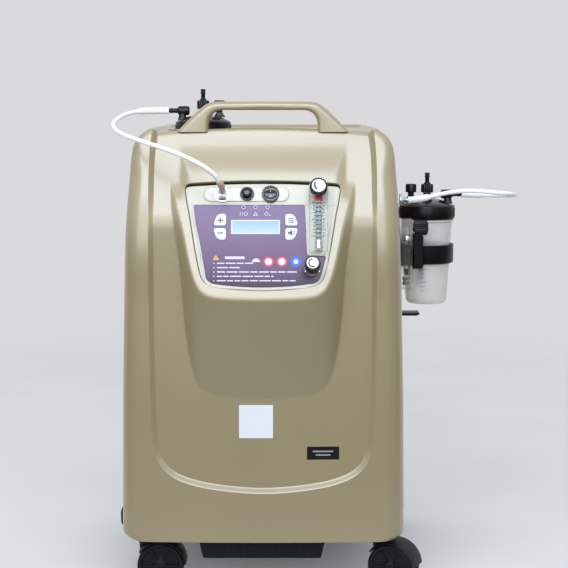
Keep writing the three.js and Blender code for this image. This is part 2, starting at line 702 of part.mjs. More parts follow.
function sieveBed(x) {
  const canister = turned([[0, DECK_Z], [38, DECK_Z], [38, DECK_Z + 10], [34, DECK_Z + 12], [34, DECK_Z + 318],
    [38, DECK_Z + 320], [38, DECK_Z + 330], [8, DECK_Z + 332], [8, DECK_Z + 346], [0, DECK_Z + 346]], 20);
  return place(canister, shift(x, 100, 0));
}

function oxygenTank() {
  return place(turned([[0, DECK_Z], [30, DECK_Z], [36, DECK_Z + 8], [36, DECK_Z + 200], [26, DECK_Z + 214],
    [6, DECK_Z + 216], [6, DECK_Z + 228], [0, DECK_Z + 228]], 20), shift(-128, -70, 0));
}

function valveManifold() {
  const block = box(-46, 46, 92, 124, 350, 384);
  const coils = [-30, 30].map((x) => place(rod(12, 383, 418, 16), shift(x, 108, 0)));
  const legs = [-38, 38].map((x) => box(x - 3, x + 3, 96, 120, DECK_Z, 351));
  return join(block, ...coils, ...legs);
}

// ---------------------------------------------------------------- assembly

const COLOURS = {
  champagne: 0xb8ac90, black: 0x161616, cream: 0xd8d3bf, violet: 0x6d5a80, pale: 0xdfe6f2, screen: 0xa9c6e4,
  chrome: 0xc8c8cc, clear: 0xd8dfe0, brown: 0x2c1c18, white: 0xf4f4f0, seal: 0xd9c9b8, foam: 0x303438,
  steel: 0x8d9196,
};

const nodes = [];

function add(name, solid, colour) {
  nodes.push({ name, solid, colour: COLOURS[colour] });
}

add('front_shell', frontShell(), 'champagne');
add('rear_shell', rearShell(), 'champagne');
add('bottle_well', bottleWell(), 'champagne');
add('carry_handle', carryHandle(), 'champagne');
add('base_chassis', baseChassis(), 'black');
add('control_panel', onFace(controlPanel()), 'cream');
add('panel_overlay', onFace(panelOverlay()), 'violet');
add('lcd_module', onFace(lcdModule()), 'screen');
add('outlet_plate', onFace(outletPlate()), 'cream');
add('front_nozzle', onFace(frontNozzle()), 'chrome');
add('breaker_button', onFace(breakerButton()), 'black');
add('rocker_bezel', onFace(rockerBezel()), 'black');
add('power_rocker', onFace(powerRocker()), 'black');
forEachKey((outline, u, v) => onFace(keyCap(outline, u, v))).forEach((solid, i) => {
  add(['key_plus', 'key_minus', 'key_mode', 'key_mute'][i], solid, 'pale');
});

const frontBlock = flowBlock(-46, 50, METER_KNOB_V, FRONT_METER_DEPTH, METER_PORTS_V, 14);
add('front_flow_block', onFace(place(frontBlock, frontMeter)), 'clear');
add('front_flow_float', onFace(place(flowFloat(-24.5, FRONT_METER_DEPTH), frontMeter)), 'black');
const frontKnobAt = shift(0, METER_KNOB_V, FRONT_METER_DEPTH + 3 + GAP);
add('front_flow_knob', onFace(place(place(flowKnob(12, 12), frontKnobAt), frontMeter)), 'black');
const bush = turned([[0, -18], [7, -18], [7, -3.3], [10.8, -3], [10.8, 2], [8, 3], [8, 9], [0, 9]], 24);
add('lock_bush', onFace(place(bush, shift(...LOCK_AT, 0))), 'chrome');
add('lock_knob', onFace(place(flowKnob(10.6, 18), shift(...LOCK_AT, 9.3))), 'black');

add('side_nozzle', sideNozzle(), 'chrome');
const sideBlock = flowBlock(418, 516, SIDE_METER_KNOB_Z, 16, [SIDE_METER_PORT_Z, SIDE_METER_KNOB_Z], 16);
add('side_flow_block', place(sideBlock, sideMeterFrame), 'clear');
add('side_flow_float', place(flowFloat(441, 16), sideMeterFrame), 'black');
const sideKnobAt = shift(0, SIDE_METER_KNOB_Z, 19 + GAP);
add('side_flow_knob', place(place(flowKnob(10.5, 19), sideKnobAt), sideMeterFrame), 'black');
add('bottle_bracket', bottleBracket(), 'black');

for (const [prefix, at, turn] of [['side', SIDE_BOTTLE, 0], ['top', TOP_BOTTLE, 180]]) {
  const frame = shift(...at).multiply(turnZ(turn));
  add(`${prefix}_jar`, place(bottleJar(), frame), 'clear');
  add(`${prefix}_lid`, place(bottleLid(), frame), 'brown');
  add(`${prefix}_outlet_nut`, place(outletNut(), frame), 'black');
  add(`${prefix}_relief_cap`, place(reliefCap(), frame), 'black');
  add(`${prefix}_elbow`, place(inletElbow(), frame), 'black');
}
add('side_seal', place(ring(34.5, 37.6, -22.4, -19.1, BOTTLE_SIDES), shift(...SIDE_BOTTLE)), 'seal');
add('front_hose', hose(FRONT_HOSE_ROUTE, 48), 'white');
add('side_hose', hose(SIDE_HOSE_ROUTE, 36), 'white');

for (const [name, sx, sy, turn] of [['front_left', -1, -1, 0], ['front_right', 1, -1, -25], ['rear_left', -1, 1, 0],
  ['rear_right', 1, 1, 0]]) {
  const at = shift(sx * CASTER_X, sy * CASTER_Y, 0).multiply(turnZ(turn));
  add(`caster_fork_${name}`, place(casterFork(), at), 'black');
  add(`caster_wheels_${name}`, place(casterWheels(), at), 'black');
}

add('cord_hook', cordHook(), 'black');
add('side_bumper', sideBumper(), 'black');
add('filter_door', filterDoor(), 'champagne');
add('intake_filter', intakeFilter(), 'foam');
add('power_inlet', powerInlet(), 'black');
add('fan_frame', fanFrame(), 'black');
add('fan_rotor', fanRotor(), 'black');
add('compressor', compressor(), 'steel');
add('sieve_bed_left', sieveBed(-112), 'steel');
add('sieve_bed_right', sieveBed(112), 'steel');
add('oxygen_tank', oxygenTank(), 'steel');
add('valve_manifold', valveManifold(), 'steel');

// The origin is the middle of the footprint of everything but the hoses, on the floor.
const extent = new THREE.Box3();
for (const { name, solid } of nodes) {
  if (!name.endsWith('_hose')) {
    const geometry = toGeometry(solid);
    geometry.computeBoundingBox();
    extent.union(geometry.boundingBox);
  }
}
const middle = extent.getCenter(new THREE.Vector3());

const part = new THREE.Group();
part.name = 'oxygen_concentrator';
for (const { name, solid, colour } of nodes) {
  const geometry = toGeometry(solid);
  geometry.translate(-middle.x, -middle.y, -extent.min.z);
  const mesh = new THREE.Mesh(geometry, new THREE.MeshStandardMaterial({ color: colour, roughness: 0.6 }));
  mesh.name = name;
  part.add(mesh);
}

export default part;
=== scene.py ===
import json
from math import cos, hypot, pi, radians, sin, sqrt, tan

import bmesh
import bpy
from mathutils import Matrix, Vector
from mathutils.bvhtree import BVHTree
from mathutils.geometry import tessellate_polygon

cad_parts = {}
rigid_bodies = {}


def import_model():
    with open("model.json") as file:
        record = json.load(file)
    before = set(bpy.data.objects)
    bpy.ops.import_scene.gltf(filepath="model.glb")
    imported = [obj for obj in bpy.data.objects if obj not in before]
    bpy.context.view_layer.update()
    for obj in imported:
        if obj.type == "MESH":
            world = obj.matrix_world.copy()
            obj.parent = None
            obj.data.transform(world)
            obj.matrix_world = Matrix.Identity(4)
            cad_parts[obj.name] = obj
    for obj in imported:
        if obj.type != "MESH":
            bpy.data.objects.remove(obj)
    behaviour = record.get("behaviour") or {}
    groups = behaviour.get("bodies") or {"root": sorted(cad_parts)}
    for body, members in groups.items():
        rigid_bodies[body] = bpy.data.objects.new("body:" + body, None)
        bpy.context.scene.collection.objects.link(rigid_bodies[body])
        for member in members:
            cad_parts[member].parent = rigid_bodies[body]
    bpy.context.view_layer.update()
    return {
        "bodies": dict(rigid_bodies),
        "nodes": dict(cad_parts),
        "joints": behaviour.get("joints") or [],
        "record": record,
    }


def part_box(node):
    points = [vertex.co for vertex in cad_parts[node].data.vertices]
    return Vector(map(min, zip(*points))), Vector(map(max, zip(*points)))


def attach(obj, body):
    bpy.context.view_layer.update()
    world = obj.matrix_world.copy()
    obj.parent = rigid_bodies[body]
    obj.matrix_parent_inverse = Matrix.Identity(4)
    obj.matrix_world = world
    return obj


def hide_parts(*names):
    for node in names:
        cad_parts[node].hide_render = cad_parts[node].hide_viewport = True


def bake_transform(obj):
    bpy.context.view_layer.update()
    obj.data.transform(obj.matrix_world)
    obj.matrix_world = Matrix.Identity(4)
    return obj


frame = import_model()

# Looks of the oxygen concentrator. Lengths are written in millimetres in the machine's own axes,
# whose X is 0 in the middle of the cabinet and whose rear wall is at Y = 190; at() turns them into
# the row frame. u, v, w are right, up and out on the leaning console plane.
_low, _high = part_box("rear_shell")
X0 = (_low.x + _high.x) / 2
REAR = 190
FRONT = -195
BEND = 519  # height at which the front starts to lean back
LEAN = radians(22)
Y0 = _high.y - REAR / 1000


def at(x, y, z):
    return Vector((X0 + x / 1000, Y0 + y / 1000, z / 1000))


def face(u, v, w):
    return at(u, FRONT + v * sin(LEAN) - w * cos(LEAN), BEND + v * cos(LEAN) + w * sin(LEAN))


def wall(a, b, c):
    """On the right wall: a towards the rear, b up, c outwards from X = 190."""
    return at(190 + c, -125 + a, b)


# ---------------------------------------------------------------- camera, floor and light

scene = bpy.context.scene
camera = bpy.data.objects.new("camera", bpy.data.cameras.new("camera"))
scene.collection.objects.link(camera)
scene.camera = camera
camera.data.sensor_width = 36
camera.data.lens = 1498 / 568 * 36
camera.location = at(28.6, -2195, 681)
camera.rotation_euler = (radians(90 - 7.07), 0, 0)
scene.view_settings.view_transform = "Standard"
scene.view_settings.look = "None"

# ---------------------------------------------------------------- materials


def srgb(r, g, b):
    return tuple((c / 255 / 12.92) if c <= 10 else ((c / 255 + 0.055) / 1.055) ** 2.4 for c in (r, g, b))


class Material:
    """A node material with a Principled shader, in object coordinates (metres)."""

    def __init__(self, name):
        self.material = bpy.data.materials.new(name)
        self.material.use_nodes = True
        self.tree = self.material.node_tree
        self.shader = self.tree.nodes["Principled BSDF"]
        self.out = self.tree.nodes["Material Output"]
        self.coords = self.tree.nodes.new("ShaderNodeTexCoord")

    def node(self, kind, **sockets):
        n = self.tree.nodes.new(kind)
        for key, value in sockets.items():
            n.inputs[key.replace("_", " ")].default_value = value
        return n

    def link(self, a, b):
        self.tree.links.new(a, b)

    def set(self, **values):
        for key, value in values.items():
            name = key.replace("_", " ")
            self.shader.inputs[name].default_value = (*value, 1) if name.endswith(("Color", "Tint")) else value

    def noise(self, scale, detail):
        n = self.node("ShaderNodeTexNoise", Scale=scale, Detail=detail, Roughness=0.55)
        self.link(self.coords.outputs["Object"], n.inputs["Vector"])
        return n.outputs["Fac"]

    def ramp(self, source, stops):
        r = self.node("ShaderNodeValToRGB")
        while len(r.color_ramp.elements) < len(stops):
            r.color_ramp.elements.new(0.5)
        for element, (place, colour) in zip(r.color_ramp.elements, stops):
            element.position = place
            element.color = (*colour, 1) if len(colour) == 3 else colour
        self.link(source, r.inputs["Fac"])
        return r.outputs["Color"]

    def remap(self, source, low, high):
        m = self.node("ShaderNodeMapRange")
        m.inputs["To Min"].default_value = low
        m.inputs["To Max"].default_value = high
        self.link(source, m.inputs["Value"])
        return m.outputs["Result"]

    def bump(self, height, strength, distance):
        b = self.node("ShaderNodeBump", Strength=strength, Distance=distance)
        self.link(height, b.inputs["Height"])
        self.link(b.outputs["Normal"], self.shader.inputs["Normal"])

    def rise(self, low, high):
        """0 at the height low and 1 at the height high."""
        split = self.node("ShaderNodeSeparateXYZ")
        self.link(self.coords.outputs["Object"], split.inputs["Vector"])
        span = self.node("ShaderNodeMapRange")
        span.inputs["From Min"].default_value = low
        span.inputs["From Max"].default_value = high
        self.link(split.outputs["Z"], span.inputs["Value"])
        return span.outputs["Result"]

    def multiply(self, a, b):
        mix = self.node("ShaderNodeMix")
        mix.data_type = "RGBA"
        mix.blend_type = "MULTIPLY"
        mix.inputs["Factor"].default_value = 1.0
        self.link(a, mix.inputs["A"])
        self.link(b, mix.inputs["B"])
        return mix.outputs["Result"]

    def surface(self, colour, gloss, relief, **values):
        """gloss is (scale, detail, low, high) and relief is (scale, detail, strength, distance)."""
        self.link(colour, self.shader.inputs["Base Color"])
        self.link(self.remap(self.noise(*gloss[:2]), *gloss[2:]), self.shader.inputs["Roughness"])
        self.bump(self.noise(*relief[:2]), *relief[2:])
        self.set(**values)
        return self.material


def mottled(name, rgb, tone, gloss, relief, **values):
    """A colour that drifts a little: tone is (scale, detail, dark, light, from, to)."""
    m = Material(name)
    scale, detail, dark, light, start, stop = tone
    low, high = (tuple(min(1, c * f) for c in srgb(*rgb)) for f in (dark, light))
    return m.surface(m.ramp(m.noise(scale, detail), [(start, low), (stop, high)]), gloss, relief, **values)


def moulded(name, rgb, rough=0.4, vary=0.05, grain=1400, depth=0.00004, strength=0.25, **values):
    """Moulded or painted plastic: faint blotches, fine grain and uneven gloss."""
    return mottled(name, rgb, (9, 3, 1 - vary, 1 + vary, 0.3, 0.7), (60, 5, rough * 0.86, rough * 1.14),
                   (grain, 3, strength, depth), **values)


def shell_paint():
    """Champagne paint with fine flake: pale and neutral where light grazes it, browner in the shade."""
    m = Material("champagne_paint")
    base = srgb(160, 144, 107)
    broad = m.noise(5, 3)
    tint = m.ramp(broad, [(0.3, tuple(c * 0.97 for c in base)), (0.72, tuple(c * 1.03 for c in base))])
    flake = m.node("ShaderNodeTexVoronoi", Scale=2600.0)
    m.link(m.coords.outputs["Object"], flake.inputs["Vector"])
    spark = m.ramp(flake.outputs["Distance"], [(0.0, (1.05, 1.05, 1.04)), (0.5, (0.985, 0.985, 0.985))])
    return m.surface(m.multiply(tint, spark), (40, 4, 0.44, 0.52), (420, 2, 0.12, 0.00005),
                     Metallic=0.2, Coat_Weight=1.0, Coat_Roughness=0.25, Coat_IOR=1.7)


def overlay_film():
    """Violet printed film, paler at the upper left and deeper towards the bottom."""
    m = Material("violet_film")
    low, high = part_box("panel_overlay")
    colour = m.ramp(m.rise(low.z, high.z), [(0.0, srgb(62, 38, 64)), (0.3, srgb(92, 60, 94)),
                                            (0.62, srgb(112, 80, 110)), (1.0, srgb(118, 96, 126))])
    drift = m.ramp(m.noise(16, 3), [(0.3, (0.93, 0.92, 0.95)), (0.7, (1.06, 1.05, 1.06))])
    return m.surface(m.multiply(colour, drift), (90, 4, 0.30, 0.40), (2400, 2, 0.12, 0.00002),
                     Coat_Weight=0.2, Coat_Roughness=0.2, Specular_IOR_Level=0.35)


def screen_glass():
    """The display behind its window: pale blue, brighter at the lower edge, with faint pixel rows."""
    m = Material("display_glass")
    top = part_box("lcd_module")[1].z
    colour = m.ramp(m.rise(top - 0.020, top), [(0.0, srgb(158, 184, 218)), (0.5, srgb(142, 168, 206)),
                                               (1.0, srgb(118, 142, 176))])
    wave = m.node("ShaderNodeTexWave", Scale=700.0)
    wave.bands_direction = "X"
    m.link(m.coords.outputs["Object"], wave.inputs["Vector"])
    rows = m.ramp(wave.outputs["Fac"], [(0.0, (0.97, 0.97, 0.97)), (1.0, (1.02, 1.02, 1.02))])
    colour = m.multiply(colour, rows)
    m.link(colour, m.shader.inputs["Emission Color"])
    return m.surface(colour, (120, 3, 0.10, 0.18), (900, 2, 0.05, 0.00001),
                     Emission_Strength=0.05, Coat_Weight=0.4, Coat_Roughness=0.08)


def clear(name, rgb, rough, transmission, ior, alpha):
    """Clear or faintly milky plastic with moulding ripples and small scuffs."""
    return mottled(name, rgb, (30, 3, 0.96, 1, 0.3, 0.7), (150, 5, rough * 0.6, rough * 1.5),
                   (70, 2, 0.10, 0.0002),
                   Transmission_Weight=transmission, IOR=ior, Alpha=alpha)


def polished(name, rgb, rough):
    """Plated or machined metal with faint scratches."""
    return mottled(name, rgb, (50, 4, 0.9, 1, 0.3, 0.7), (300, 5, rough * 0.6, rough * 1.6),
                   (700, 3, 0.15, 0.00003),
                   Metallic=1.0)


def hose_pvc():
    """Soft white tube with faint toning."""
    m = Material("hose_white")
    tone = m.ramp(m.noise(35, 4), [(0.3, srgb(236, 235, 229)), (0.7, srgb(246, 246, 241))])
    return m.surface(tone, (200, 4, 0.26, 0.38), (300, 2, 0.05, 0.00002), Coat_Weight=0.2, Coat_Roughness=0.2)


def foam_pad():
    m = Material("filter_foam")
    cells = m.node("ShaderNodeTexVoronoi", Scale=700.0)
    m.link(m.coords.outputs["Object"], cells.inputs["Vector"])
    m.link(m.ramp(cells.outputs["Distance"], [(0.0, srgb(24, 25, 28)), (0.6, srgb(66, 68, 72))]),
           m.shader.inputs["Base Color"])
    m.link(m.remap(m.noise(200, 3), 0.85, 0.98), m.shader.inputs["Roughness"])
    m.bump(cells.outputs["Distance"], 0.9, 0.0012)
    return m.material


def cast_metal(name, rgb, rough, metallic):
    return mottled(name, rgb, (22, 5, 0.8, 1.1, 0.25, 0.75), (90, 6, rough * 0.75, rough * 1.25),
                   (380, 6, 0.45, 0.00015), Metallic=metallic)


PAINT = shell_paint()
CREAM = moulded("panel_cream", (203, 199, 178), 0.38, 0.03, 1200, Coat_Weight=0.12, Coat_Roughness=0.3)
PLATE = moulded("plate_cream", (205, 201, 182), 0.34, 0.03, 1500, Metallic=0.1)
FILM = overlay_film()
SCREEN = screen_glass()
BEZEL = moulded("display_bezel", (214, 214, 228), 0.35, 0.03, 1500)
KEY = moulded("key_silicone", (226, 229, 243), 0.42, 0.03, 900, 0.00003)
PRINT_DARK = moulded("print_dark", (66, 62, 80), 0.5, 0.08, 1500)
PRINT_LIGHT = moulded("print_light", (214, 202, 220), 0.45, 0.05, 1500)
# Black meter print; also the painted shadow at the outlet pad's ends.
INK_AND_PAINTED_SHADOW = moulded("ink_and_painted_shadow", (14, 20, 16), 0.5, 0.08, 1500)
PRINT_RED = moulded("print_red", (206, 44, 50), 0.4, 0.06, 1500)
PRINT_BLUE = moulded("print_blue", (36, 98, 206), 0.4, 0.06, 1500)
PRINT_AMBER = moulded("print_amber", (214, 158, 42), 0.4, 0.06, 1500)
PRINT_NAVY = moulded("print_navy", (52, 84, 140), 0.45, 0.08, 1500)
GLOSS_BLACK = moulded("gloss_black", (10, 10, 11), 0.16, 0.2, 900, 0.00002, Coat_Weight=0.5,
                      Coat_Roughness=0.08)
SATIN_BLACK = moulded("satin_black", (11, 11, 12), 0.36, 0.2, 900, 0.00005, Specular_IOR_Level=0.3)
CHASSIS = moulded("textured_black", (13, 13, 14), 0.5, 0.22, 500, 0.0002, 0.5, Specular_IOR_Level=0.3)
KNOB = moulded("knob_black", (11, 11, 12), 0.3, 0.2, 1000, 0.00003, Specular_IOR_Level=0.35)
LID = moulded("lid_brown", (30, 16, 14), 0.2, 0.15, 600, 0.00003, Coat_Weight=0.6, Coat_Roughness=0.1)
RIM = moulded("lid_rim_black", (11, 8, 8), 0.28, 0.2, 700, 0.00003, Specular_IOR_Level=0.3)
SEAL = moulded("seal_cream", (212, 196, 182), 0.5, 0.04, 900)
CHROME = polished("chrome", (214, 214, 218), 0.12)
STEEL = polished("zinc_steel", (150, 150, 154), 0.3)
ACRYLIC = clear("clear_acrylic", (250, 252, 250), 0.03, 0.97, 1.30, 0.75)
JAR = clear("jar_plastic", (250, 249, 243), 0.14, 0.5, 1.22, 0.6)
TUBE_GLASS = moulded("meter_tube", (186, 192, 184), 0.22, 0.04, 1200, Transmission_Weight=0.35)
HOSE = hose_pvc()
CUFF = moulded("hose_cuff", (240, 240, 238), 0.36, 0.03, 900, Subsurface_Weight=0.15, Subsurface_Scale=0.003)
CUFF_TAN = moulded("hose_cuff_tan", (196, 180, 158), 0.36, 0.05, 900, Subsurface_Weight=0.15,
                   Subsurface_Scale=0.003)
TYRE = mottled("caster_tread", (15, 15, 16), (24, 5, 0.75, 1.35, 0.25, 0.75), (80, 6, 0.62 * 0.8, 0.62 * 1.2),
               (500, 6, 0.4, 0.0001), Specular_IOR_Level=0.3)
LABEL_WHITE = moulded("label_white", (230, 230, 230), 0.42, 0.02, 1500)
LABEL_BLACK = moulded("label_black", (16, 16, 17), 0.32, 0.15, 1500)
FOAM = foam_pad()
CAST = cast_metal("cast_aluminium", (150, 152, 154), 0.5, 0.75)
CANISTER = cast_metal("painted_canister", (186, 188, 186), 0.35, 0.2)
PRINT_GREY = moulded("print_grey", (150, 150, 152), 0.45, 0.05, 1500)
# Darker violet for the painted shade round the keys.
PAINTED_KEY_SHADE = moulded("film_shadow", (92, 76, 108), 0.4, 0.05, 1500)
CAP_PALE = polished("knob_cap_metal", (205, 206, 208), 0.3)

# ---------------------------------------------------------------- mesh tools


class Build:
    """Collects points and faces, then makes one smooth mesh of them."""

    def __init__(self):
        self.points = []
        self.faces = []

    def add(self, points):
        start = len(self.points)
        self.points.extend(points)
        return list(range(start, start + len(points)))

    def grid(self, rows, wrap=False):
        ids = [self.add(row) for row in rows]
        for a, b in zip(ids, ids[1:]):
            count = len(a)
            for i in range(count if wrap else count - 1):
                j = (i + 1) % count
                self.faces.append([a[i], a[j], b[j], b[i]])

    def fill(self, loops):
        """A flat face with holes, cut into triangles."""
        ids = [i for loop in loops for i in self.add(loop)]
        for t in tessellate_polygon([[Vector(p) for p in loop] for loop in loops]):
            self.faces.append([ids[i] for i in t])

    def turned(self, profile, place, segments=64):
        """A turned shape: profile of (radius, height), placed by place(x, y, height)."""
        turns = [(cos(a), sin(a)) for a in (2 * pi * i / segments for i in range(segments))]
        self.grid([[place(max(r, 1e-3) * c, max(r, 1e-3) * s, h) for c, s in turns] for r, h in profile],
                  wrap=True)

    def prism(self, outline, w0, w1, place, bevel=0.5, steps=3, foot=0.0):
        """An outline in a, b raised from w0 to w1 with a rounded upper edge (and lower, by foot)."""
        levels = []
        if foot > 0:
            for i in range(steps + 1):
                t = pi / 2 * i / steps
                levels.append((foot * (1 - sin(t)), w0 + foot * (1 - cos(t))))
        else:
            levels.append((0.0, w0))
        for i in range(steps + 1):
            t = pi / 2 * i / steps
            levels.append((bevel * (1 - cos(t)), w1 - bevel * (1 - sin(t))))
        rows = [[place(a, b, w) for a, b in inset(outline, d)] for d, w in levels]
        self.grid(rows, wrap=True)
        self.fill([rows[-1]])
        self.fill([rows[0]])

    def object(self, name, material, body, nodes=(), slot=None, angle=32, weld=1e-6):
        mesh = bpy.data.meshes.new(name)
        mesh.from_pydata(self.points, [], self.faces)
        bm = bmesh.new()
        bm.from_mesh(mesh)
        bmesh.ops.remove_doubles(bm, verts=bm.verts, dist=weld)
        bmesh.ops.dissolve_degenerate(bm, edges=bm.edges, dist=1e-7)
        bmesh.ops.recalc_face_normals(bm, faces=bm.faces)
        bm.to_mesh(mesh)
        bm.free()
        mesh.polygons.foreach_set("use_smooth", [True] * len(mesh.polygons))
        mesh.set_sharp_from_angle(angle=radians(angle))
        mesh.materials.append(material)
        ob = bpy.data.objects.new(name, mesh)
        scene.collection.objects.link(ob)
        if body:
            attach(ob, body)
        if nodes:
            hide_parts(*nodes)
        return ob


def inset(outline, distance):
    """The outline moved inwards, for one that runs anticlockwise."""
    if abs(distance) < 1e-9:
        return [tuple(p) for p in outline]
    area = sum(p[0] * q[1] - q[0] * p[1] for p, q in zip(outline, outline[1:] + outline[:1]))
    side = 1 if area > 0 else -1
    moved = []
    count = len(outline)
    for i, p in enumerate(outline):
        a, b = outline[i - 1], outline[(i + 1) % count]
        d1 = (p[0] - a[0], p[1] - a[1])
        d2 = (b[0] - p[0], b[1] - p[1])
        n1 = hypot(*d1) or 1
        n2 = hypot(*d2) or 1
        nx = -(d1[1] / n1 + d2[1] / n2)
        ny = d1[0] / n1 + d2[0] / n2
        length = hypot(nx, ny) or 1
        cosine = max(0.5, length / 2)
        moved.append((p[0] + side * nx / length * distance / cosine, p[1] +
                      side * ny / length * distance / cosine))
    return moved


def rounded(corners, radius, steps=6):
    """A closed outline with each corner replaced by a short curve. A corner may carry its own radius."""
    points = []
    for i, corner in enumerate(corners):
        x, y = corner[:2]
        r = corner[2] if len(corner) > 2 else radius
        ax, ay = corners[i - 1][:2]
        bx, by = corners[(i + 1) % len(corners)][:2]
        da, db = hypot(ax - x, ay - y), hypot(bx - x, by - y)
        reach = min(r, da / 2.05, db / 2.05)
        p = (x + (ax - x) / da * reach, y + (ay - y) / da * reach)
        q = (x + (bx - x) / db * reach, y + (by - y) / db * reach)
        for k in range(steps + 1):
            t = k / steps
            c0, c1, c2 = (1 - t) ** 2, 2 * t * (1 - t), t * t
            points.append((c0 * p[0] + c1 * x + c2 * q[0], c0 * p[1] + c1 * y + c2 * q[1]))
    return points


def circle(radius, u=0.0, v=0.0, count=48):
    turns = [2 * pi * i / count for i in range(count)]
    return [(u + radius * cos(a), v + radius * sin(a)) for a in turns]


def rect(u0, u1, v0, v1, r=1.0, steps=5):
    return rounded([(u0, v0), (u1, v0), (u1, v1), (u0, v1)], r, steps)


def smoothstep(a, b, x):
    t = min(1.0, max(0.0, (x - a) / (b - a)))
    return t * t * (3 - 2 * t)


def spline(points, per_span):
    """A centripetal Catmull-Rom line through points of any dimension."""
    pts = [Vector(p) for p in points]
    out = []
    for i in range(len(pts) - 1):
        p1, p2 = pts[i], pts[i + 1]
        p0 = pts[i - 1] if i > 0 else p1 + (p1 - p2)
        p3 = pts[i + 2] if i + 2 < len(pts) else p2 + (p2 - p1)
        t0 = 0.0
        t1 = t0 + max(1e-9, (p1 - p0).length ** 0.5)
        t2 = t1 + max(1e-9, (p2 - p1).length ** 0.5)
        t3 = t2 + max(1e-9, (p3 - p2).length ** 0.5)
        for k in range(per_span):
            t = t1 + (t2 - t1) * k / per_span
            a1 = p0 * ((t1 - t) / (t1 - t0)) + p1 * ((t - t0) / (t1 - t0))
            a2 = p1 * ((t2 - t) / (t2 - t1)) + p2 * ((t - t1) / (t2 - t1))
            a3 = p2 * ((t3 - t) / (t3 - t2)) + p3 * ((t - t2) / (t3 - t2))
            b1 = a1 * ((t2 - t) / (t2 - t0)) + a2 * ((t - t0) / (t2 - t0))
            b2 = a2 * ((t3 - t) / (t3 - t1)) + a3 * ((t - t1) / (t3 - t1))
            out.append(b1 * ((t2 - t) / (t2 - t1)) + b2 * ((t - t1) / (t2 - t1)))
    out.append(pts[-1])
    return out


def evenly(line, count):
    """A line of points walked at equal steps."""
    pts = [Vector(p) for p in line]
    lengths = [0.0]
    for a, b in zip(pts, pts[1:]):
        lengths.append(lengths[-1] + (b - a).length)
    out = []
    k = 0
    for i in range(count):
        target = lengths[-1] * i / (count - 1)
        while k + 2 < len(lengths) and lengths[k + 1] < target:
            k += 1
        span = lengths[k + 1] - lengths[k] or 1
        out.append(pts[k].lerp(pts[k + 1], min(1.0, (target - lengths[k]) / span)))
    return out


def tube(build, line, radius_at, sides):
    """A round tube along a line in metres; radius_at(i, n) gives millimetres. Its frame never twists."""
    n = len(line)
    tangents = [(line[min(i + 1, n - 1)] - line[max(i - 1, 0)]).normalized() for i in range(n)]
    side = tangents[0].orthogonal().normalized()
    rows = []
    for i, (p, t) in enumerate(zip(line, tangents)):
        side = (side - t * side.dot(t)).normalized()
        up = t.cross(side)
        r = radius_at(i, n) / 1000
        rows.append([p + side * (r * cos(2 * pi * k / sides)) + up * (r * sin(2 * pi * k / sides))
                     for k in range(sides)])
    build.grid(rows, wrap=True)
    for row in (rows[0], rows[-1]):
        build.faces.append(build.add(row))


# ---------------------------------------------------------------- hoses

FRONT_HOSE = [(-54.2, -197.4, 559.9), (-54.2, -206, 563.6), (-56, -217, 570), (-62, -226, 580),
              (-76, -231, 592),
              (-100, -230.5, 604.5), (-128, -222.5, 615), (-157, -206.5, 623.5), (-183, -182, 631),
              (-200, -153, 638.5),
              (-206, -123, 646.5), (-201, -95, 654), (-189, -73, 660), (-171, -58, 663), (-152, -51.5, 663.5),
              (-135.7, -50, 663.5)]
SIDE_HOSE = [(201.7, -108, 540), (215, -108.4, 541.2), (231, -110.6, 544.6), (247, -114.2, 548.8),
             (264, -118, 552),
             (281, -120.7, 553.6), (301, -121.6, 553.2), (322, -121.6, 551.2), (332.6, -119.7, 550.2),
             (341.9, -114.3, 549.2),
             (348.8, -106.1, 548), (352.5, -96, 546.8), (352.5, -85.2, 545.7), (348.8, -75.1, 544.8),
             (341.9, -66.9, 544.1),
             (332.6, -61.5, 543.8), (322, -59.6, 543.9), (303, -59.6, 544.6), (281.9, -60, 545.5)]


def length_of(line):
    return sum((b - a).length for a, b in zip(line, line[1:]))


def free_hose(name, route, cuffs):
    """A soft tube from a nozzle to a bottle's elbow, with a thicker cuff pushed on at each end."""
    fine = spline([at(*p) for p in route], 8)
    line = evenly(fine, 120)
    total = length_of(fine)
    for k, (end_body, reach, material) in enumerate(cuffs):
        path = line if k == 0 else line[::-1]
        walked, part = 0.0, [path[0]]
        for a, b in zip(path, path[1:]):
            walked += (b - a).length
            part.append(b)
            if walked > reach / 1000:
                break
        b = Build()
        tube(b, evenly(spline(part, 3), 40),
             lambda i, n: 4.7 + 0.35 * exp_bump(i / (n - 1), 0.06) - 1.0 * smoothstep(0.80, 1.0, i / (n - 1)),
             24)
        b.object(f"{name}_cuff_{k + 1}", material, end_body, slot="hose", angle=40)
    b = Build()
    tube(b, line, lambda i, n: 3.1, 22)
    ob = b.object(f"{name}_tube", HOSE, None, [name], "hose", 40)
    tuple(line[0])
    [list(p) for p in line]
    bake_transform(ob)


def exp_bump(t, width):
    return max(0.0, 1 - (t / width) ** 2)


free_hose("front_hose", FRONT_HOSE, (("cabinet", 26, CUFF_TAN),
                                                              ("top_bottle", 46, CUFF)))
free_hose("side_hose", SIDE_HOSE, (("cabinet", 30, CUFF), ("side_bottle", 30, CUFF)))

# ---------------------------------------------------------------- cabinet surfaces

HALF_WIDTHS = [(60, 178), (76, 183.5), (81, 192), (86, 195.2), (94, 195), (269, 192.5), (415, 189), (505, 186),
               (519, 185.2),
               (533, 184.4), (598, 180), (618, 176.5), (630, 169.5), (640, 155), (650, 138)]
RAIL_TOP = 640
UPPER = 612  # the rear wall is flat up to here
DECK = 636
FACE_TOP = 631
PART_Y = 10
SEAM = 0.15  # half the gap at the part line
STEP_WIDTH = 7.0
STEP_X = 150.5  # where the rails end and the step down begins
SKIRT = 94  # the chamfer along the bottom starts here
WELL = (-86.3, -50)


def between(table, z):
    for (z0, a), (z1, b) in zip(table, table[1:]):
        if z <= z1:
            return a + (b - a) * (z - z0) / (z1 - z0)
    return table[-1][1]


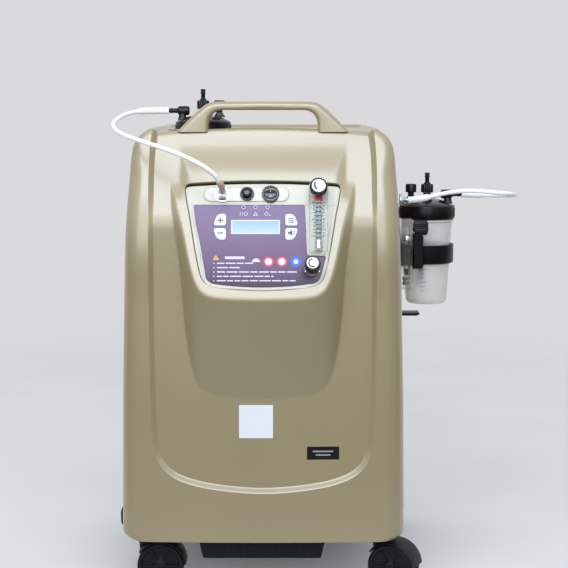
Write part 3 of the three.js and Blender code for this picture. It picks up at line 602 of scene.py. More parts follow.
def half_width(z):
    reach = min(4.0, max(0.5, (z - 76) / 2 + 0.5), max(0.5, (640 - z) / 2 + 0.5))
    return sum(between(HALF_WIDTHS, z + reach * k / 4) for k in range(-4, 5)) / 9


def corner(z):
    return 24 - 15 * smoothstep(570, 640, z)


def leaning(z, soft, proud=0.0):
    """Upright below the bend and leaning back above it, rounded over soft mm each way."""
    if z <= BEND - soft:
        return FRONT - proud
    if z < BEND + soft:
        return FRONT + tan(LEAN) * (z - BEND + soft) ** 2 / (4 * soft) - proud
    return FRONT + (z - BEND) * tan(LEAN) - proud


def front_y(z):
    """Front plane, with a soft bend."""
    return leaning(z, 14)


def rail_y(z):
    """The rails beside the console follow the same lean in one long curve, and stand a little prouder."""
    return leaning(z, 80, 4.0 * smoothstep(400, 500, z))


def back_y(z):
    """The rear wall leans in a little under its top edge."""
    return REAR - 0.5 * max(0.0, z - 615)


def bulge(x, z):
    """The lower front is slightly crowned from side to side."""
    return 5.0 * max(0.0, 1 - (x / 178) ** 2) * (1 - smoothstep(250, 440, z))


def skin(s, z):
    """Outside of the front shell: s runs along the front from the middle, round the corner and back."""
    h, y, r = half_width(z), rail_y(z), corner(z)
    a, sign = abs(s), (1 if s >= 0 else -1)
    flat = h - r
    arc = r * pi / 2
    if a <= flat:
        return (s, y - bulge(s, z), z)
    if a <= flat + arc:
        t = (a - flat) / r
        return (sign * (flat + r * sin(t)), y + r * (1 - cos(t)) - bulge(flat, z) * (1 - (a - flat) / arc), z)
    return (sign * h, y + r + a - flat - arc, z)


def skin_length(z):
    r = corner(z)
    return half_width(z) - r + r * pi / 2 + (PART_Y - SEAM - rail_y(z) - r)


def back_skin(s, z):
    """Outside of the rear shell: s runs along the back from the middle, round the corner and forwards."""
    h, y, r = half_width(z), back_y(z), corner(z)
    a, sign = abs(s), (1 if s >= 0 else -1)
    flat = h - r
    arc = r * pi / 2
    if a <= flat:
        return (s, y, z)
    if a <= flat + arc:
        t = (a - flat) / r
        return (sign * (flat + r * sin(t)), y - r * (1 - cos(t)), z)
    return (sign * h, y - r - (a - flat - arc), z)


def back_length(z):
    r = corner(z)
    return half_width(z) - r + r * pi / 2 + (back_y(z) - PART_Y - SEAM - r)


def field_point(x, z, depth=1.0):
    y = rail_y(z)
    return (x, y + (front_y(z) + 6 - y) * depth - bulge(x, z), z)


def pod_point(u, v, w=0.0):
    """Face of the console, which sinks into the field above the opening."""
    w -= 6 * cos(LEAN) * max(smoothstep(60, 112, v), smoothstep(20, 60, v) * smoothstep(96, 116, abs(u)))
    return (u, FRONT + v * sin(LEAN) - w * cos(LEAN), BEND + v * cos(LEAN) + w * sin(LEAN))


# Matching places on five lines, right halves from the bottom middle upwards: the border (s, z), the edge
# of the sunken field (x, z), the foot of the console (x, z), its rim (u, v) and its opening (u, v).
# A border place of FULL is at the part line, and one up to NEAR_SIDE is that far round in mm.
FULL = 1000
NEAR_SIDE = 310
POD_TOP = 123.04
LINES = [
    ((0, 94), (0, 144.5), (0, 277.5), (0, -111), (0, -98.5)),
    ((55, 94), (34, 146.2), (30, 278.2), (25, -110.7), (25, -97.6)),
    ((110, 94), (66, 150), (58, 280.8), (48, -109.8), (46, -95.6)),
    ((165, 94), (87, 153.8), (74, 284.6), (62, -108.3), (60, -93.6)),
    ((230, 94), (103, 158.2), (85, 292), (71, -106.2), (68, -91.6)),
    ((310, 94), (116, 163.2), (91.5, 303), (77.5, -103), (74, -89)),
    ((FULL, 94), (126.5, 169.3), (96, 318), (82.5, -99), (78.6, -85.4)),
    ((FULL, 110), (135.5, 177), (100, 337), (86.6, -93.5), (81.6, -80.8)),
    ((FULL, 130), (142.5, 187), (103.5, 358), (90, -87), (83.8, -75)),
    ((FULL, 155), (147.2, 199), (106, 380), (93, -79.5), (85.6, -68)),
    ((FULL, 185), (150.2, 215), (108, 405), (95.8, -70.5), (87.4, -60)),
    ((FULL, 220), (152, 240), (109.6, 430), (98.6, -60), (89.4, -50)),
    ((FULL, 270), (153.2, 285), (111.5, 452), (101.6, -46), (91.8, -38)),
    ((FULL, 325), (153.8, 338), (114, 474), (104.8, -30), (94.4, -23)),
    ((FULL, 390), (154, 400), (117.3, 495), (108.3, -12), (97.2, -6)),
    ((FULL, 445), (154, 450), (120, 512), (112, 5), (99.8, 10)),
    ((FULL, 488), (154, 490), (122.3, 530), (115.6, 21), (102.8, 24)),
    ((FULL, 525), (154, 525), (124, 550), (118.8, 36.5), (105, 38)),
    ((FULL, 555), (154, 555), (125.2, 568), (121.6, 51), (105.7, 43.5)),
    ((FULL, 585), (154, 585), (126, 590), (123.6, 75), None),
    ((FULL, 612), (153, 612), (126.5, 612), (125, 100), None),
    ((FULL, 640), (150.5, 640), (126.6, FACE_TOP), (125.6, POD_TOP), None),
]
SPAN = 9
SKIRT_HEIGHTS = [76, 76.6, 77.5, 79, 80.5, 82, 83.5, 85.5, 88, 91, SKIRT]
TOP_EDGE = [(105.7, 43.5), (105.6, 47.2), (104.2, 50.4), (100.4, 52.3), (92, 53.2), (80, 53.9), (60, 55.1),
            (35, 56.1), (0, 56.5)]


def column(k, smooth=True):
    """One of the five lines, from the upper left round the bottom to the upper right."""
    points = [row[k] for row in LINES if row[k] is not None]
    if smooth:
        mirror = [(-points[1][0], points[1][1], 0)] + [(p[0], p[1], 0) for p in points]
        right = [(p.x, p.y) for p in spline(mirror, SPAN)[SPAN:]]
    else:
        right = []
        for (x0, z0), (x1, z1) in zip(points, points[1:]):
            right += [(x0 + (x1 - x0) * t / SPAN, z0 + (z1 - z0) * t / SPAN) for t in range(SPAN)]
        right.append(points[-1])
    return [(-x, z) for x, z in right[::-1]] + right[1:]


def offset(line, distance):
    """An open line moved to its left, looking along it."""
    out = []
    for i, p in enumerate(line):
        a, b = line[max(i - 1, 0)], line[min(i + 1, len(line) - 1)]
        dx, dz = b[0] - a[0], b[1] - a[1]
        n = hypot(dx, dz) or 1
        d = distance[i] if isinstance(distance, list) else distance
        out.append((p[0] - dz / n * d, p[1] + dx / n * d))
    return out


def mix(p, q, t):
    return tuple(a + (b - a) * t for a, b in zip(p, q))


def bend(p, control, q, steps):
    return [tuple((1 - t) ** 2 * a + 2 * t * (1 - t) * c + t * t * b for a, c, b in zip(p, control, q))
            for t in [k / steps for k in range(steps + 1)]]


def toward(p, q, distance):
    d = sqrt(sum((b - a) ** 2 for a, b in zip(p, q))) or 1
    return tuple(a + (b - a) / d * distance for a, b in zip(p, q))


def border_place(s, z):
    reach = abs(s)
    reach = min(reach, NEAR_SIDE + (skin_length(z) - NEAR_SIDE) * max(0,
                                                                      (reach - NEAR_SIDE) / (FULL - NEAR_SIDE)))
    return reach if s >= 0 else -reach


def console_top():
    """The curved top of the console's opening, as even points from its right end to the middle."""
    return [(p.x, p.y) for p in evenly(spline([(u, v, 0) for u, v in TOP_EDGE], 6), 30)]


def opening_line():
    top_edge = console_top()
    return column(4) + top_edge[1:] + [(-u, v) for u, v in top_edge[::-1][1:-1]]


def front_shell():
    b = Build()
    border, edge, foot, rim, opening = (column(k, k > 0) for k in range(5))
    n = len(edge)
    # rail, corner and side wall
    across = 56
    rows = []
    for (s_end, z_end), (x, z) in zip(border, edge):
        s_end = border_place(s_end, z_end)
        rows.append([at(*skin(x + (s_end - x) * t, z + (z_end - z) * t))
                     for t in (k / across for k in range(across + 1))])
    b.grid(rows)
    # skirt: the chamfer along the bottom, and a lip turned in under it
    share = [border_place(s, SKIRT) / skin_length(SKIRT) for s, z in border if z <= SKIRT + 0.001]
    skirt = []
    for z in SKIRT_HEIGHTS[::-1]:
        skirt.append([at(*skin(f * skin_length(z), z)) for f in share])
    last = [skin(f * skin_length(76), 76) for f in share]
    for inward, up in ((0.4, -0.3), (1.2, -0.4), (3.2, 0.2), (3.4, 14)):
        skirt.append([at(x * (1 - inward / 175), y + inward * (1 if y < -150 else 0), 76 + up) for x, y,
                      z in last])
    b.grid(skirt)
    # soft step down into the field
    steps = 9
    step_rows = []
    for k in range(steps + 1):
        q = k / steps
        moved = offset(edge, STEP_WIDTH * q)
        row = []
        for (x, z), (x0, z0) in zip(moved, edge):
            if k == 0:
                row.append(at(*skin(x0, z0)))
                continue
            z -= (RAIL_TOP - FACE_TOP) * smoothstep(0, 1, q) * smoothstep(596, RAIL_TOP, z0)
            row.append(at(*field_point(x, z, 0.7 * q + 0.3 * smoothstep(0, 1, q))))
        step_rows.append(row)
        inner_edge = moved
    b.grid(step_rows)
    inner_edge = [(x, z - (RAIL_TOP - FACE_TOP) * smoothstep(596, RAIL_TOP, z0)) for (x, z),
                  (x0, z0) in zip(inner_edge, edge)]
    # console wall, with soft edges at its foot and rim
    foot_3d = [field_point(x, z) for x, z in foot]
    rim_3d = [pod_point(u, v) for u, v in rim]
    height = [sqrt(sum((p - q) ** 2 for p, q in zip(f, r))) for f, r in zip(foot_3d, rim_3d)]
    round_foot = [min(2.4, h * 0.3) for h in height]
    round_rim = [min(4.6, h * 0.36) for h in height]
    foot_out = offset(foot, [-r for r in round_foot])
    rim_in = offset(rim, round_rim)
    wall_lines = []
    for i in range(n):
        f, r = foot_3d[i], rim_3d[i]
        a = toward(f, r, round_foot[i])
        c = toward(r, f, round_rim[i])
        line = bend(field_point(*foot_out[i]), f, a, 4)
        line += [mix(a, c, k / 8) for k in range(1, 8)]
        line += bend(c, r, pod_point(*rim_in[i]), 7)
        wall_lines.append([at(*p) for p in line])
    b.grid([[line[k] for line in wall_lines] for k in range(len(wall_lines[0]))])
    # field between the step and the console
    band_rows = []
    for k in range(11):
        t = k / 10
        band_rows.append([at(*field_point(*mix(p, q, t))) for p, q in zip(inner_edge, foot_out)])
    b.grid(band_rows)
    # rim between the console's edge and its opening
    skip = 3 * SPAN
    rim_part = rim_in[skip:n - skip]
    rim_rows = [[at(*pod_point(*mix(p, q, k / 7))) for p, q in zip(rim_part, opening)] for k in range(8)]
    b.grid(rim_rows)
    # leaning face above the opening
    top_edge = console_top()
    bottom = [mix(rim_part[0], opening[0], k / 7) for k in range(7)] + [(-u, v) for u,
        v in top_edge] + top_edge[::-1][1:] + [mix(opening[-1], rim_part[-1], k / 7) for k in range(1, 8)]
    left, right = rim_in[:skip + 1][::-1], rim_in[n - skip - 1:]
    top_rows = []
    for k in range(skip + 1):
        wider = right[k][0] / bottom[-1][0]
        row = [(u * wider, v + (POD_TOP - v) * k / skip) for u, v in bottom]
        row[0], row[-1] = left[k], right[k]
        top_rows.append([at(*pod_point(*p)) for p in row])
    b.grid(top_rows)
    # wall of the opening
    loop = opening_line()
    b.grid([[at(*pod_point(*p, w)) for p in inset(loop, d)] for d,
            w in ((0, 0), (0.15, -0.35), (0.5, -0.7), (0.9, -0.9), (1.1, -7.5))],
           wrap=True)
    # over the top edge and onto the deck
    seams = step_rows + band_rows[1:]
    crest = [row[0] for row in seams] + wall_lines[0][1:] + top_rows[-1][1:-1]
    crest += wall_lines[-1][::-1] + [row[-1] for row in band_rows[::-1][1:] + step_rows[::-1][1:]]
    over = []
    for t in [k / 10 for k in range(11)]:
        row = []
        for p in crest:
            rise = (RAIL_TOP - p.z * 1000) / 9 if p.z * 1000 > FACE_TOP else 1
            level = DECK + (RAIL_TOP - DECK) * (1 - rise)
            crown = 6 * max(0.0, 1 - ((p.x - X0) / 0.143) ** 2) * sin(pi * t)
            z = p.z * 1000 + (level - p.z * 1000) * sin(t * pi / 2) + crown
            row.append(Vector((p.x, p.y + 0.001 * (5 * t + 7 * (1 - cos(t * pi / 2))), z / 1000)))
        over.append(row)
    b.grid(over)
    last = over[-1]
    rail = len(step_rows) - 1
    back = Y0 + (PART_Y - SEAM) / 1000
    for part in (last[:rail + 1], last[-rail - 1:]):
        b.grid([[Vector((p.x, p.y + (back - p.y) * k / 12, p.z)) for p in part] for k in range(13)])
    middle = last[rail:len(last) - rail]
    outline = list(middle)
    outline += [Vector((middle[-1].x, middle[-1].y + (back - middle[-1].y) * k / 12, middle[-1].z))
                for k in range(1, 13)]
    outline += [Vector((middle[0].x, middle[0].y + (back - middle[0].y) * k / 12, middle[0].z))
                for k in range(12, 0, -1)]
    hole = [at(WELL[0] + 46.4 * cos(2 * pi * k / 72), WELL[1] + 46.4 * sin(2 * pi * k / 72), DECK)
            for k in range(72)]
    b.fill([outline, hole])
    # top of the two rails
    for row in (rows[0], rows[-1]):
        inner = [Vector((X0 + (STEP_X if p.x > X0 else -STEP_X) / 1000, max(p.y, row[0].y), p.z)) for p in row]
        b.grid([row, [p.lerp(q, 0.5) for p, q in zip(row, inner)], inner])
    b.object("front_shell_skin", PAINT, "cabinet", ["front_shell"], "shell", 30, 2e-5)


def rear_shell():
    b = Build()
    heights = SKIRT_HEIGHTS + [SKIRT + (UPPER - SKIRT) * k / 40 for k in range(1, 41)]
    heights += [615, 618, 621, 624, 626.5, 629, 631.5, 634, 636, 638, 640]
    edge = 150.0  # half width of the flat rear wall
    side_rows = {1: [], -1: []}
    for z in heights:
        limit = back_length(z)
        start = min(edge, half_width(z) - corner(z))
        for sign in (1, -1):
            side_rows[sign].append([at(*back_skin(sign * (start + (limit - start) * k / 46), z))
                                    for k in range(47)])
    for sign in (1, -1):
        b.grid(side_rows[sign])
    across = 24
    for chosen in ([z for z in heights if z <= SKIRT], [z for z in heights if z >= UPPER - 1e-6]):
        rows = []
        for z in chosen:
            start = min(edge, half_width(z) - corner(z))
            rows.append([at(*back_skin(-start + 2 * start * k / across, z)) for k in range(across + 1)])
        b.grid(rows)
    between_them = [z for z in heights if SKIRT < z < UPPER - 1e-6]
    outline = [at(-edge + 2 * edge * k / across, REAR, SKIRT) for k in range(across + 1)]
    outline += [at(edge, REAR, z) for z in between_them]
    outline += [at(edge - 2 * edge * k / across, REAR, UPPER) for k in range(across + 1)]
    outline += [at(-edge, REAR, z) for z in between_them[::-1]]
    holes = [rect(-72, 72, 380, 520, 3), circle(52, 0, 230, 72), rect(96, 126, 118, 142, 2)]
    b.fill([outline] + [[at(x, REAR, z) for x, z in hole] for hole in holes])
    for hole in holes:
        b.grid([[at(x, y, z) for x, z in hole] for y in (REAR, 189.4, 186.6)], wrap=True)
    # rails and ledge, the step inside them and the deck
    start = min(edge, half_width(640) - corner(640))
    top = side_rows[-1][-1][::-1] + [at(*back_skin(-start + 2 * start * k / across, 640))
                                     for k in range(1, across)] + side_rows[1][-1]

    def held(p, x_limit, y_limit, z):
        x, y = (p.x - X0) * 1000, (p.y - Y0) * 1000
        return at(max(-x_limit, min(x_limit, x)), min(y_limit, y), z)

    rings = [top]
    for k in range(1, 10):
        q = k / 9
        drop = smoothstep(0, 1, q)
        rings.append([held(p, STEP_X - STEP_WIDTH * q, 165 - STEP_WIDTH * q,
                           RAIL_TOP - (RAIL_TOP - DECK) * drop) for p in top])
    rings.insert(1, [held(p, STEP_X, 165, RAIL_TOP) for p in top])
    b.grid(rings)
    b.fill([rings[-1]])
    b.object("rear_shell_skin", PAINT, "cabinet", ["rear_shell"], "shell", 30, 2e-5)


front_shell()
rear_shell()


def bottle_well():
    b = Build()
    place = lambda x, y, h: at(WELL[0] + x, WELL[1] + y, h)
    b.turned([(46, 636.5), (50, 636.4), (50, 637.2), (49.3, 638), (44.2, 638), (43.2, 637.4), (43, 636.4),
              (43, 500), (42.6, 498),
              (40, 497.2), (0, 497)], place, 72)
    b.turned([(46, 636.5), (46, 494), (0, 494)], place, 72)
    b.object("bottle_well_cup", PAINT, "cabinet", ["bottle_well"], "shell", 40)


def carry_handle():
    outer = [(-118, 635.5), (-112, 641.5), (-104, 649.5), (-92, 661.2), (-83, 669), (-75, 674), (-66, 676.2),
             (-52, 676.5), (-26, 676.5), (0, 676.5)]
    inner = [(-75, 635.5), (-75, 640), (-74.8, 646), (-73, 654), (-68, 660.6), (-61, 664.2), (-53, 665),
             (-40, 665), (-20, 665), (0, 665)]
    lines = []
    for half in (outer, inner):
        whole = half + [(-x, z) for x, z in half[::-1][1:]]
        lines.append(spline([(x, z, 0) for x, z in whole], 8))
    b = Build()
    rows = []
    for o, i in zip(*lines):
        c, a = (o + i) / 2, (o - i).length / 2
        n = (o - i).normalized()
        r_out, r_in = min(8.5, a * 0.95), min(5.0, a * 0.9)
        row = []
        for sy, sa, r in ((-1, 1, r_out), (1, 1, r_out), (1, -1, r_in), (-1, -1, r_in)):
            for k in range(7):
                t = pi / 2 * k / 6
                first, second = (sin(t), cos(t)) if sy * sa < 0 else (cos(t), sin(t))
                along = sa * (a - r + r * first)
                depth = sy * (21 - r + r * second)
                row.append(at(c.x + n.x * along, -125 + depth, c.y + n.y * along))
        rows.append(row)
    b.grid(rows, wrap=True)
    b.object("carry_handle_arch", PAINT, "cabinet", ["carry_handle"], "shell", 40, 1e-6)


bottle_well()
carry_handle()

# ---------------------------------------------------------------- control panel

PANEL = -3.3
FILM_W = -2.4
OVERLAY = [(-67.3, -87.3), (-40, -90.5), (0, -92.2), (40, -90.4), (70.6, -86.6), (76.7, -81), (85.1, -49),
           (59.2, -48), (56.8, 22.7),
           (-93.3, 22.7), (-89.3, -5.8), (-84.2, -28.2), (-74.8, -81)]


def flat_marks_on(name, outlines, w, material, body="cabinet", thick=0.12, place=face):
    """Flat shapes, a hair thick, for print and for painted shadow. An outline may carry holes: (outer, hole,
    ...).
    """
    b = Build()
    for shape in outlines:
        loops = shape if isinstance(shape, tuple) else (shape,)
        b.fill([[place(u, v, w + thick) for u, v in loop] for loop in loops])
        for loop in loops:
            b.grid([[place(u, v, w + h) for u, v in loop] for h in (0, thick)], wrap=True)
        b.fill([[place(u, v, w) for u, v in loop] for loop in loops])
    return b.object(name, material, body, slot="overlay", angle=30, weld=1e-7)


def control_panel():
    b = Build()
    loop = opening_line()

    def ring(d, w, groove=0.0):
        """The opening's line moved in by d, and 2.6 mm lower along the top. The groove fades out upwards."""
        return [face(u, v - 2.6 * smoothstep(36, 50, v), w - groove * (1 - smoothstep(8, 30, v))) for u,
                v in inset(loop, d)]

    rows = [ring(1.5, -7.5), ring(1.5, -4.0), ring(1.75, -3.5), ring(2.3, PANEL)]
    rows += [ring(d, PANEL, depth) for d, depth in ((5.6, 0), (5.9, 0.7), (6.5, 0.9), (7.1, 0.7), (7.4, 0))]
    b.grid(rows, wrap=True)
    b.fill([rows[-1]])
    b.object("control_panel_plate", CREAM, "cabinet", ["control_panel"], "panel", 40)
    # raised bead that frames the film, open at its upper right for the flow meter
    line = [(-96.2, 18), (-91.8, -7), (-86.8, -29), (-77.6, -81), (-74, -86.5), (-68, -90.6), (-40, -93.6),
            (0, -95.2), (40, -93.6),
            (72, -89.6), (79.8, -82.6), (88.6, -47), (91.5, -30)]
    b = Build()
    path = evenly(spline([face(u, v, PANEL + 0.1) for u, v in line], 6), 90)
    tube(b, path, lambda i, n: 1.05 * min(1, 0.25 + 4 * min(i, n - 1 - i) / n), 12)
    b.object("film_bead", PLATE, "cabinet", slot="panel", angle=50)


def film():
    b = Build()
    outline = rounded([(u, v, 4 if abs(u) > 50 else 30) for u, v in OVERLAY], 4, 6)
    b.prism(outline, PANEL + 0.1, FILM_W, face, 0.35, 3)
    b.object("panel_film", FILM, "cabinet", ["panel_overlay"], "overlay", 40)
    # status lights, with the plain marks under them
    rings = [(circle(2.5, u, 19.0, 24), circle(1.7, u, 19.0, 24)[::-1]) for u in (-25.7, -9.6, 6.6)]
    flat_marks_on("status_rings", rings, FILM_W, PRINT_LIGHT)
    b = Build()
    for u in (-25.7, -9.6, 6.6):
        b.turned([(0, FILM_W + 0.5), (0.8, FILM_W + 0.42), (1.5, FILM_W + 0.1), (1.6, FILM_W - 0.3)],
                 lambda x, y, h, u=u: face(u + x, 19.0 + y, h), 24)
    b.object("status_lamps", PRINT_DARK, "cabinet", slot="overlay", angle=40)
    marks = [rect(-30.4, -29.8, 6.8, 12.4, 0.2, 2), rect(-27.4, -26.8, 6.8, 12.4, 0.2, 2),
             (circle(2.6, -22.6, 9.6, 24), circle(1.9, -22.6, 9.6, 24)[::-1])]
    marks += [([(-13, 7), (-6.2, 7), (-9.6, 12.6)], [(-11.6, 7.8), (-9.6, 11.2), (-7.6, 7.8)])]
    marks += [(circle(2.6, 5.2, 9.6, 24), circle(1.9, 5.2, 9.6, 24)[::-1]), circle(0.9, 9.6, 7.6, 16)]
    flat_marks_on("status_marks", marks, FILM_W, PRINT_LIGHT)
    # plain bars where a notice would be, and plain discs
    bars = [rect(-50, -24, -53.5, -49.8, 0.5, 2)]
    for k, (v, right) in enumerate(((-59.2, -12), (-65.2, -27), (-71.2, 49), (-77.2, 15), (-83.2, 44))):
        bars.append(rect(-65.4, -63.8, v - 0.9, v + 0.7, 0.5, 2))
        u = -60.5
        while u < right:
            span = min(7 + (k * 5 + int(u)) % 9, right - u)
            if span > 2:
                bars.append(rect(u, u + span, v - 0.85, v + 0.75, 0.35, 2))
            u += span + 1.7
    flat_marks_on("notice_bars", bars, FILM_W, PRINT_LIGHT)
    flat_marks_on("disc_amber", [rounded([(-66.6, -54.8), (-57.6, -54.8), (-62.1, -47.2)], 1.4, 4)], FILM_W,
             PRINT_AMBER)
    flat_marks_on("disc_red", [(circle(7.2, u, -57, 40), circle(4.9, u, -57, 40)[::-1]) for u in (8, 25.7)], FILM_W,
             PRINT_RED)
    flat_marks_on("disc_white", [circle(4.8, u, -57, 40) for u in (8, 25.7)] + [circle(3.2, 44.5, -57, 32)], FILM_W,
             PRINT_LIGHT, thick=0.16)
    flat_marks_on("disc_blue", [circle(7.2, 44.5, -57, 40)], FILM_W, PRINT_BLUE)
    dome = [(-8.6 + 5.4 * cos(a * pi / 12), -57.5 + 5.0 * sin(a * pi / 12)) for a in range(13)]
    flat_marks_on("half_disc", [dome], FILM_W, PRINT_LIGHT)


def key_outline(side_u, side_v, grow):
    w, h = 9 + grow, 8.6 + grow
    corners = [(-w * side_u, -h * side_v, 4), (w * side_u * 0.98, -h * side_v, 5),
               (w * side_u * 0.35, h * side_v * 0.9, 9),
               (-w * side_u, h * side_v, 5)]
    points = rounded(corners, 5, 7)
    area = sum(p[0] * q[1] - q[0] * p[1] for p, q in zip(points, points[1:] + points[:1]))
    return points if area > 0 else points[::-1]


def keys():
    marks = {"key_plus": [[(-0.8, -0.8), (-0.8, -4), (0.8, -4), (0.8, -0.8), (4, -0.8), (4, 0.8), (0.8, 0.8),
                           (0.8, 4), (-0.8, 4),
                           (-0.8, 0.8), (-4, 0.8), (-4, -0.8)]],
             "key_minus": [rect(-4, 4, -0.8, 0.8, 0.3, 2)],
             "key_mode": [rect(-3.8, 3.8, 2.2, 3.4, 0.3, 2), rect(-3.8, 3.8, -0.6, 0.6, 0.3, 2),
                          rect(-3.8, 3.8, -3.4, -2.2, 0.3, 2)],
             "key_mute": [[(-4, -1.6), (-1.8, -1.6), (1.4, -4), (1.4, 4), (-1.8, 1.6), (-4, 1.6)],
                          [(2.4, -3.6), (3.4, -3.2), (5.2, 3.2), (4.2, 3.6)]]}
    for column_i, u in enumerate((-57.8, 39.3)):
        for row_i, v in enumerate((1.5, -19)):
            name = (("key_plus", "key_minus"), ("key_mode", "key_mute"))[column_i][row_i]
            side_u, side_v = (-1 if column_i == 0 else 1), (1 if row_i == 0 else -1)
            outline = key_outline(side_u, side_v, 0)
            b = Build()
            levels = [(0, -6), (0, -2.2), (0.2, -1.5), (0.7, -1.1), (1.6, -0.92), (3.2, -0.82), (5.0, -0.78)]
            rows = [[face(u + a, v + c, w) for a, c in inset(outline, d)] for d, w in levels]
            b.grid(rows, wrap=True)
            b.fill([rows[-1]])
            b.object(f"{name}_cap", KEY, name, [name], "key", 60)
            cu, cv = -1.2 * side_u, -1.4 * side_v
            flat_marks_on(f"{name}_mark", [[(u + cu + a, v + cv + c) for a, c in m] for m in marks[name]], -0.83,
                     PRINT_DARK, name, 0.1)
            # The darker violet ring round each key (the _frame piece) is painted shade where the key rises from
            # the film.
            frame = key_outline(side_u, side_v, 1.1)
            hole = key_outline(side_u, side_v, 0.55)
            flat_marks_on(f"{name}_frame", [([(u + a, v + c) for a, c in frame],
                                        [(u + a, v + c) for a, c in hole][::-1])], FILM_W, PAINTED_KEY_SHADE)


def display():
    b = Build()
    outer, inner = rect(-42.3, 23.2, -18.8, 1.1, 0.8, 4), rect(-40.4, 21.3, -16.9, -0.8, 0.4, 4)
    rows = [[face(u, v, w) for u, v in line] for line, w in ((outer, -6), (outer, -2.3),
                                                             (inset(outer, 0.25), -2.08),
                                                            (inset(outer, 1.5), -2.05), (inner, -2.2),
                                                            (inner, -2.6))]
    b.grid(rows, wrap=True)
    b.object("display_frame", BEZEL, "cabinet", ["lcd_module"], "display", 40)
    b = Build()
    b.prism(inset(inner, -0.1), -3.4, -2.3, face, 0.1, 2)
    b.object("display_window", SCREEN, "cabinet", slot="display", angle=40)


def stadium(u0, u1, v, r, steps=16):
    right = [(u1 - r + r * cos(a), v + r * sin(a)) for a in [-pi / 2 + pi * k / steps
                                                             for k in range(steps + 1)]]
    left = [(u0 + r + r * cos(a), v + r * sin(a)) for a in [pi / 2 + pi * k / steps for k in range(steps + 1)]]
    return right + left


def turned_face(name, profile, u, v, material, body, nodes=(), slot=None, segments=64, angle=35):
    b = Build()
    b.turned(profile, lambda x, y, h: face(u + x, v + y, h), segments)
    return b.object(name, material, body, nodes, slot, angle)


def outlet_row():
    b = Build()
    outline = stadium(-79.6, 35.4, 37, 10.5)
    rows = [[face(u, v, w) for u, v in inset(outline, d)] for d, w in
            ((-1.0, PANEL - 0.05), (-0.9, PANEL + 0.5), (-0.4, PANEL + 0.55), (-0.2, PANEL), (0.3, PANEL - 0.1),
             (0.45, PANEL + 0.2),
             (0.6, -1.9), (1.0, -1.5), (1.8, -1.4))]
    b.grid(rows, wrap=True)
    b.fill([rows[-1]])
    b.object("outlet_plate_pad", PLATE, "cabinet", ["outlet_plate"], "panel", 40)
    ends = []
    for middle, start in ((-69.1, radians(105)), (24.9, radians(-75))):
        turns = [start + radians(150) * k / 16 for k in range(17)]
        ends.append([(middle + 11.6 * cos(a), 37 + 11.6 * sin(a)) for a in turns] + [
            (middle + 10.9 * cos(a), 37 + 10.9 * sin(a)) for a in turns[::-1]])
    # The dark arcs round the pad's two ends are painted shadow beside its end walls, in the same black as the
    # meter print.
    flat_marks_on("outlet_plate_shadow_line", ends, PANEL + 0.03, INK_AND_PAINTED_SHADOW, thick=0.05)
    # hexagon nut with chamfered corners, washer and barb
    b = Build()
    hexagon = circle(10.2, 0, 0, 6)
    rows = []
    for w in (-1.1, 2.9, 4.0):
        row = []
        for k in range(6):
            p, q = hexagon[k], hexagon[(k + 1) % 6]
            for t in range(8):
                x, y = p[0] + (q[0] - p[0]) * t / 8, p[1] + (q[1] - p[1]) * t / 8
                reach = hypot(x, y)
                f = min(1.0, 9.3 / reach) if w == 4.0 else 1.0
                drop = max(0, reach - 9.1) * 0.5 if w == 2.9 else 0
                row.append(face(-54.2 + x * f, 37 + y * f, w - drop))
        rows.append(row)
    b.grid(rows, wrap=True)
    b.fill([rows[-1]])
    place = lambda x, y, h: face(-54.2 + x, 37 + y, h)
    b.turned([(11.2, -1.3), (11.2, -0.7), (10.8, -0.5), (6, -0.5)], place, 48)
    b.turned([(6.4, 3.8), (6.4, 5.2), (6.0, 6.4), (3.4, 7.4), (3.0, 8.2), (3.0, 10), (3.6, 10.6), (3.1, 12.6),
              (3.6, 13.2), (2.9, 16.6), (0, 17)],
             place, 40)
    b.object("outlet_nozzle", CHROME, "cabinet", ["front_nozzle"], "chrome", 30)
    # push-button breaker
    turned_face("breaker_collar", [(9.5, -1.6), (9.5, 1.8), (9.2, 2.4), (8.6, 2.7), (7.6, 2.7), (7.0, 2.3),
                                   (6.4, 1.2), (6.3, -2)],
                -21.1, 37, GLOSS_BLACK, "cabinet", slot="black")
    turned_face("breaker_dome", [(5.9, -20), (5.9, 4.0), (5.7, 5.0), (5.0, 6.2), (3.9, 7.0), (2.4, 7.35),
                                 (1.2, 7.25), (0, 7.2)],
                -21.1, 37, GLOSS_BLACK, "breaker", ["breaker_button"], "black", 48)
    # rocker switch
    turned_face("rocker_ring", [(11.9, -1.4), (11.9, 0.4), (11.5, 1.2), (10.6, 1.6), (9.4, 1.6), (8.8, 1.2),
                                (8.6, 0.4), (8.6, -6), (8.6, -8)],
                10.5, 37, GLOSS_BLACK, "cabinet", ["rocker_bezel"], "black")
    b = Build()
    rows = []
    for r, lift in ((8.3, -4.6), (8.3, -0.5), (8.1, 0.0), (7.6, 0.28), (6, 0.32), (4, 0.3), (2, 0.3),
                    (0.01, 0.3)):
        row = []
        for k in range(48):
            a = 2 * pi * k / 48
            x, y = r * cos(a), r * 0.97 * sin(a) * 0.86
            crown = 2.0 - 0.16 * abs(y) - 0.12 * y if lift > -4 else 0
            row.append(face(10.5 + x, 37 + y, lift + (crown - 0.3 if lift > -4 else 0)))
        rows.append(row)
    b.grid(rows, wrap=True)
    b.object("rocker_paddle", GLOSS_BLACK, "rocker", ["power_rocker"], "black", 35)
    bar = [(10.2, 39.6), (10.8, 39.6), (10.8, 42.6), (10.2, 42.6)]
    flat_marks_on("rocker_mark_on", [bar], 1.05, PRINT_LIGHT, "rocker", 0.5)
    flat_marks_on("rocker_mark_off", [(circle(1.7, 10.5, 33.4, 28), circle(1.2, 10.5, 33.4, 28)[::-1])], 1.6,
             PRINT_LIGHT, "rocker", 0.5)


control_panel()
film()
keys()
display()
outlet_row()

# ---------------------------------------------------------------- flow meters


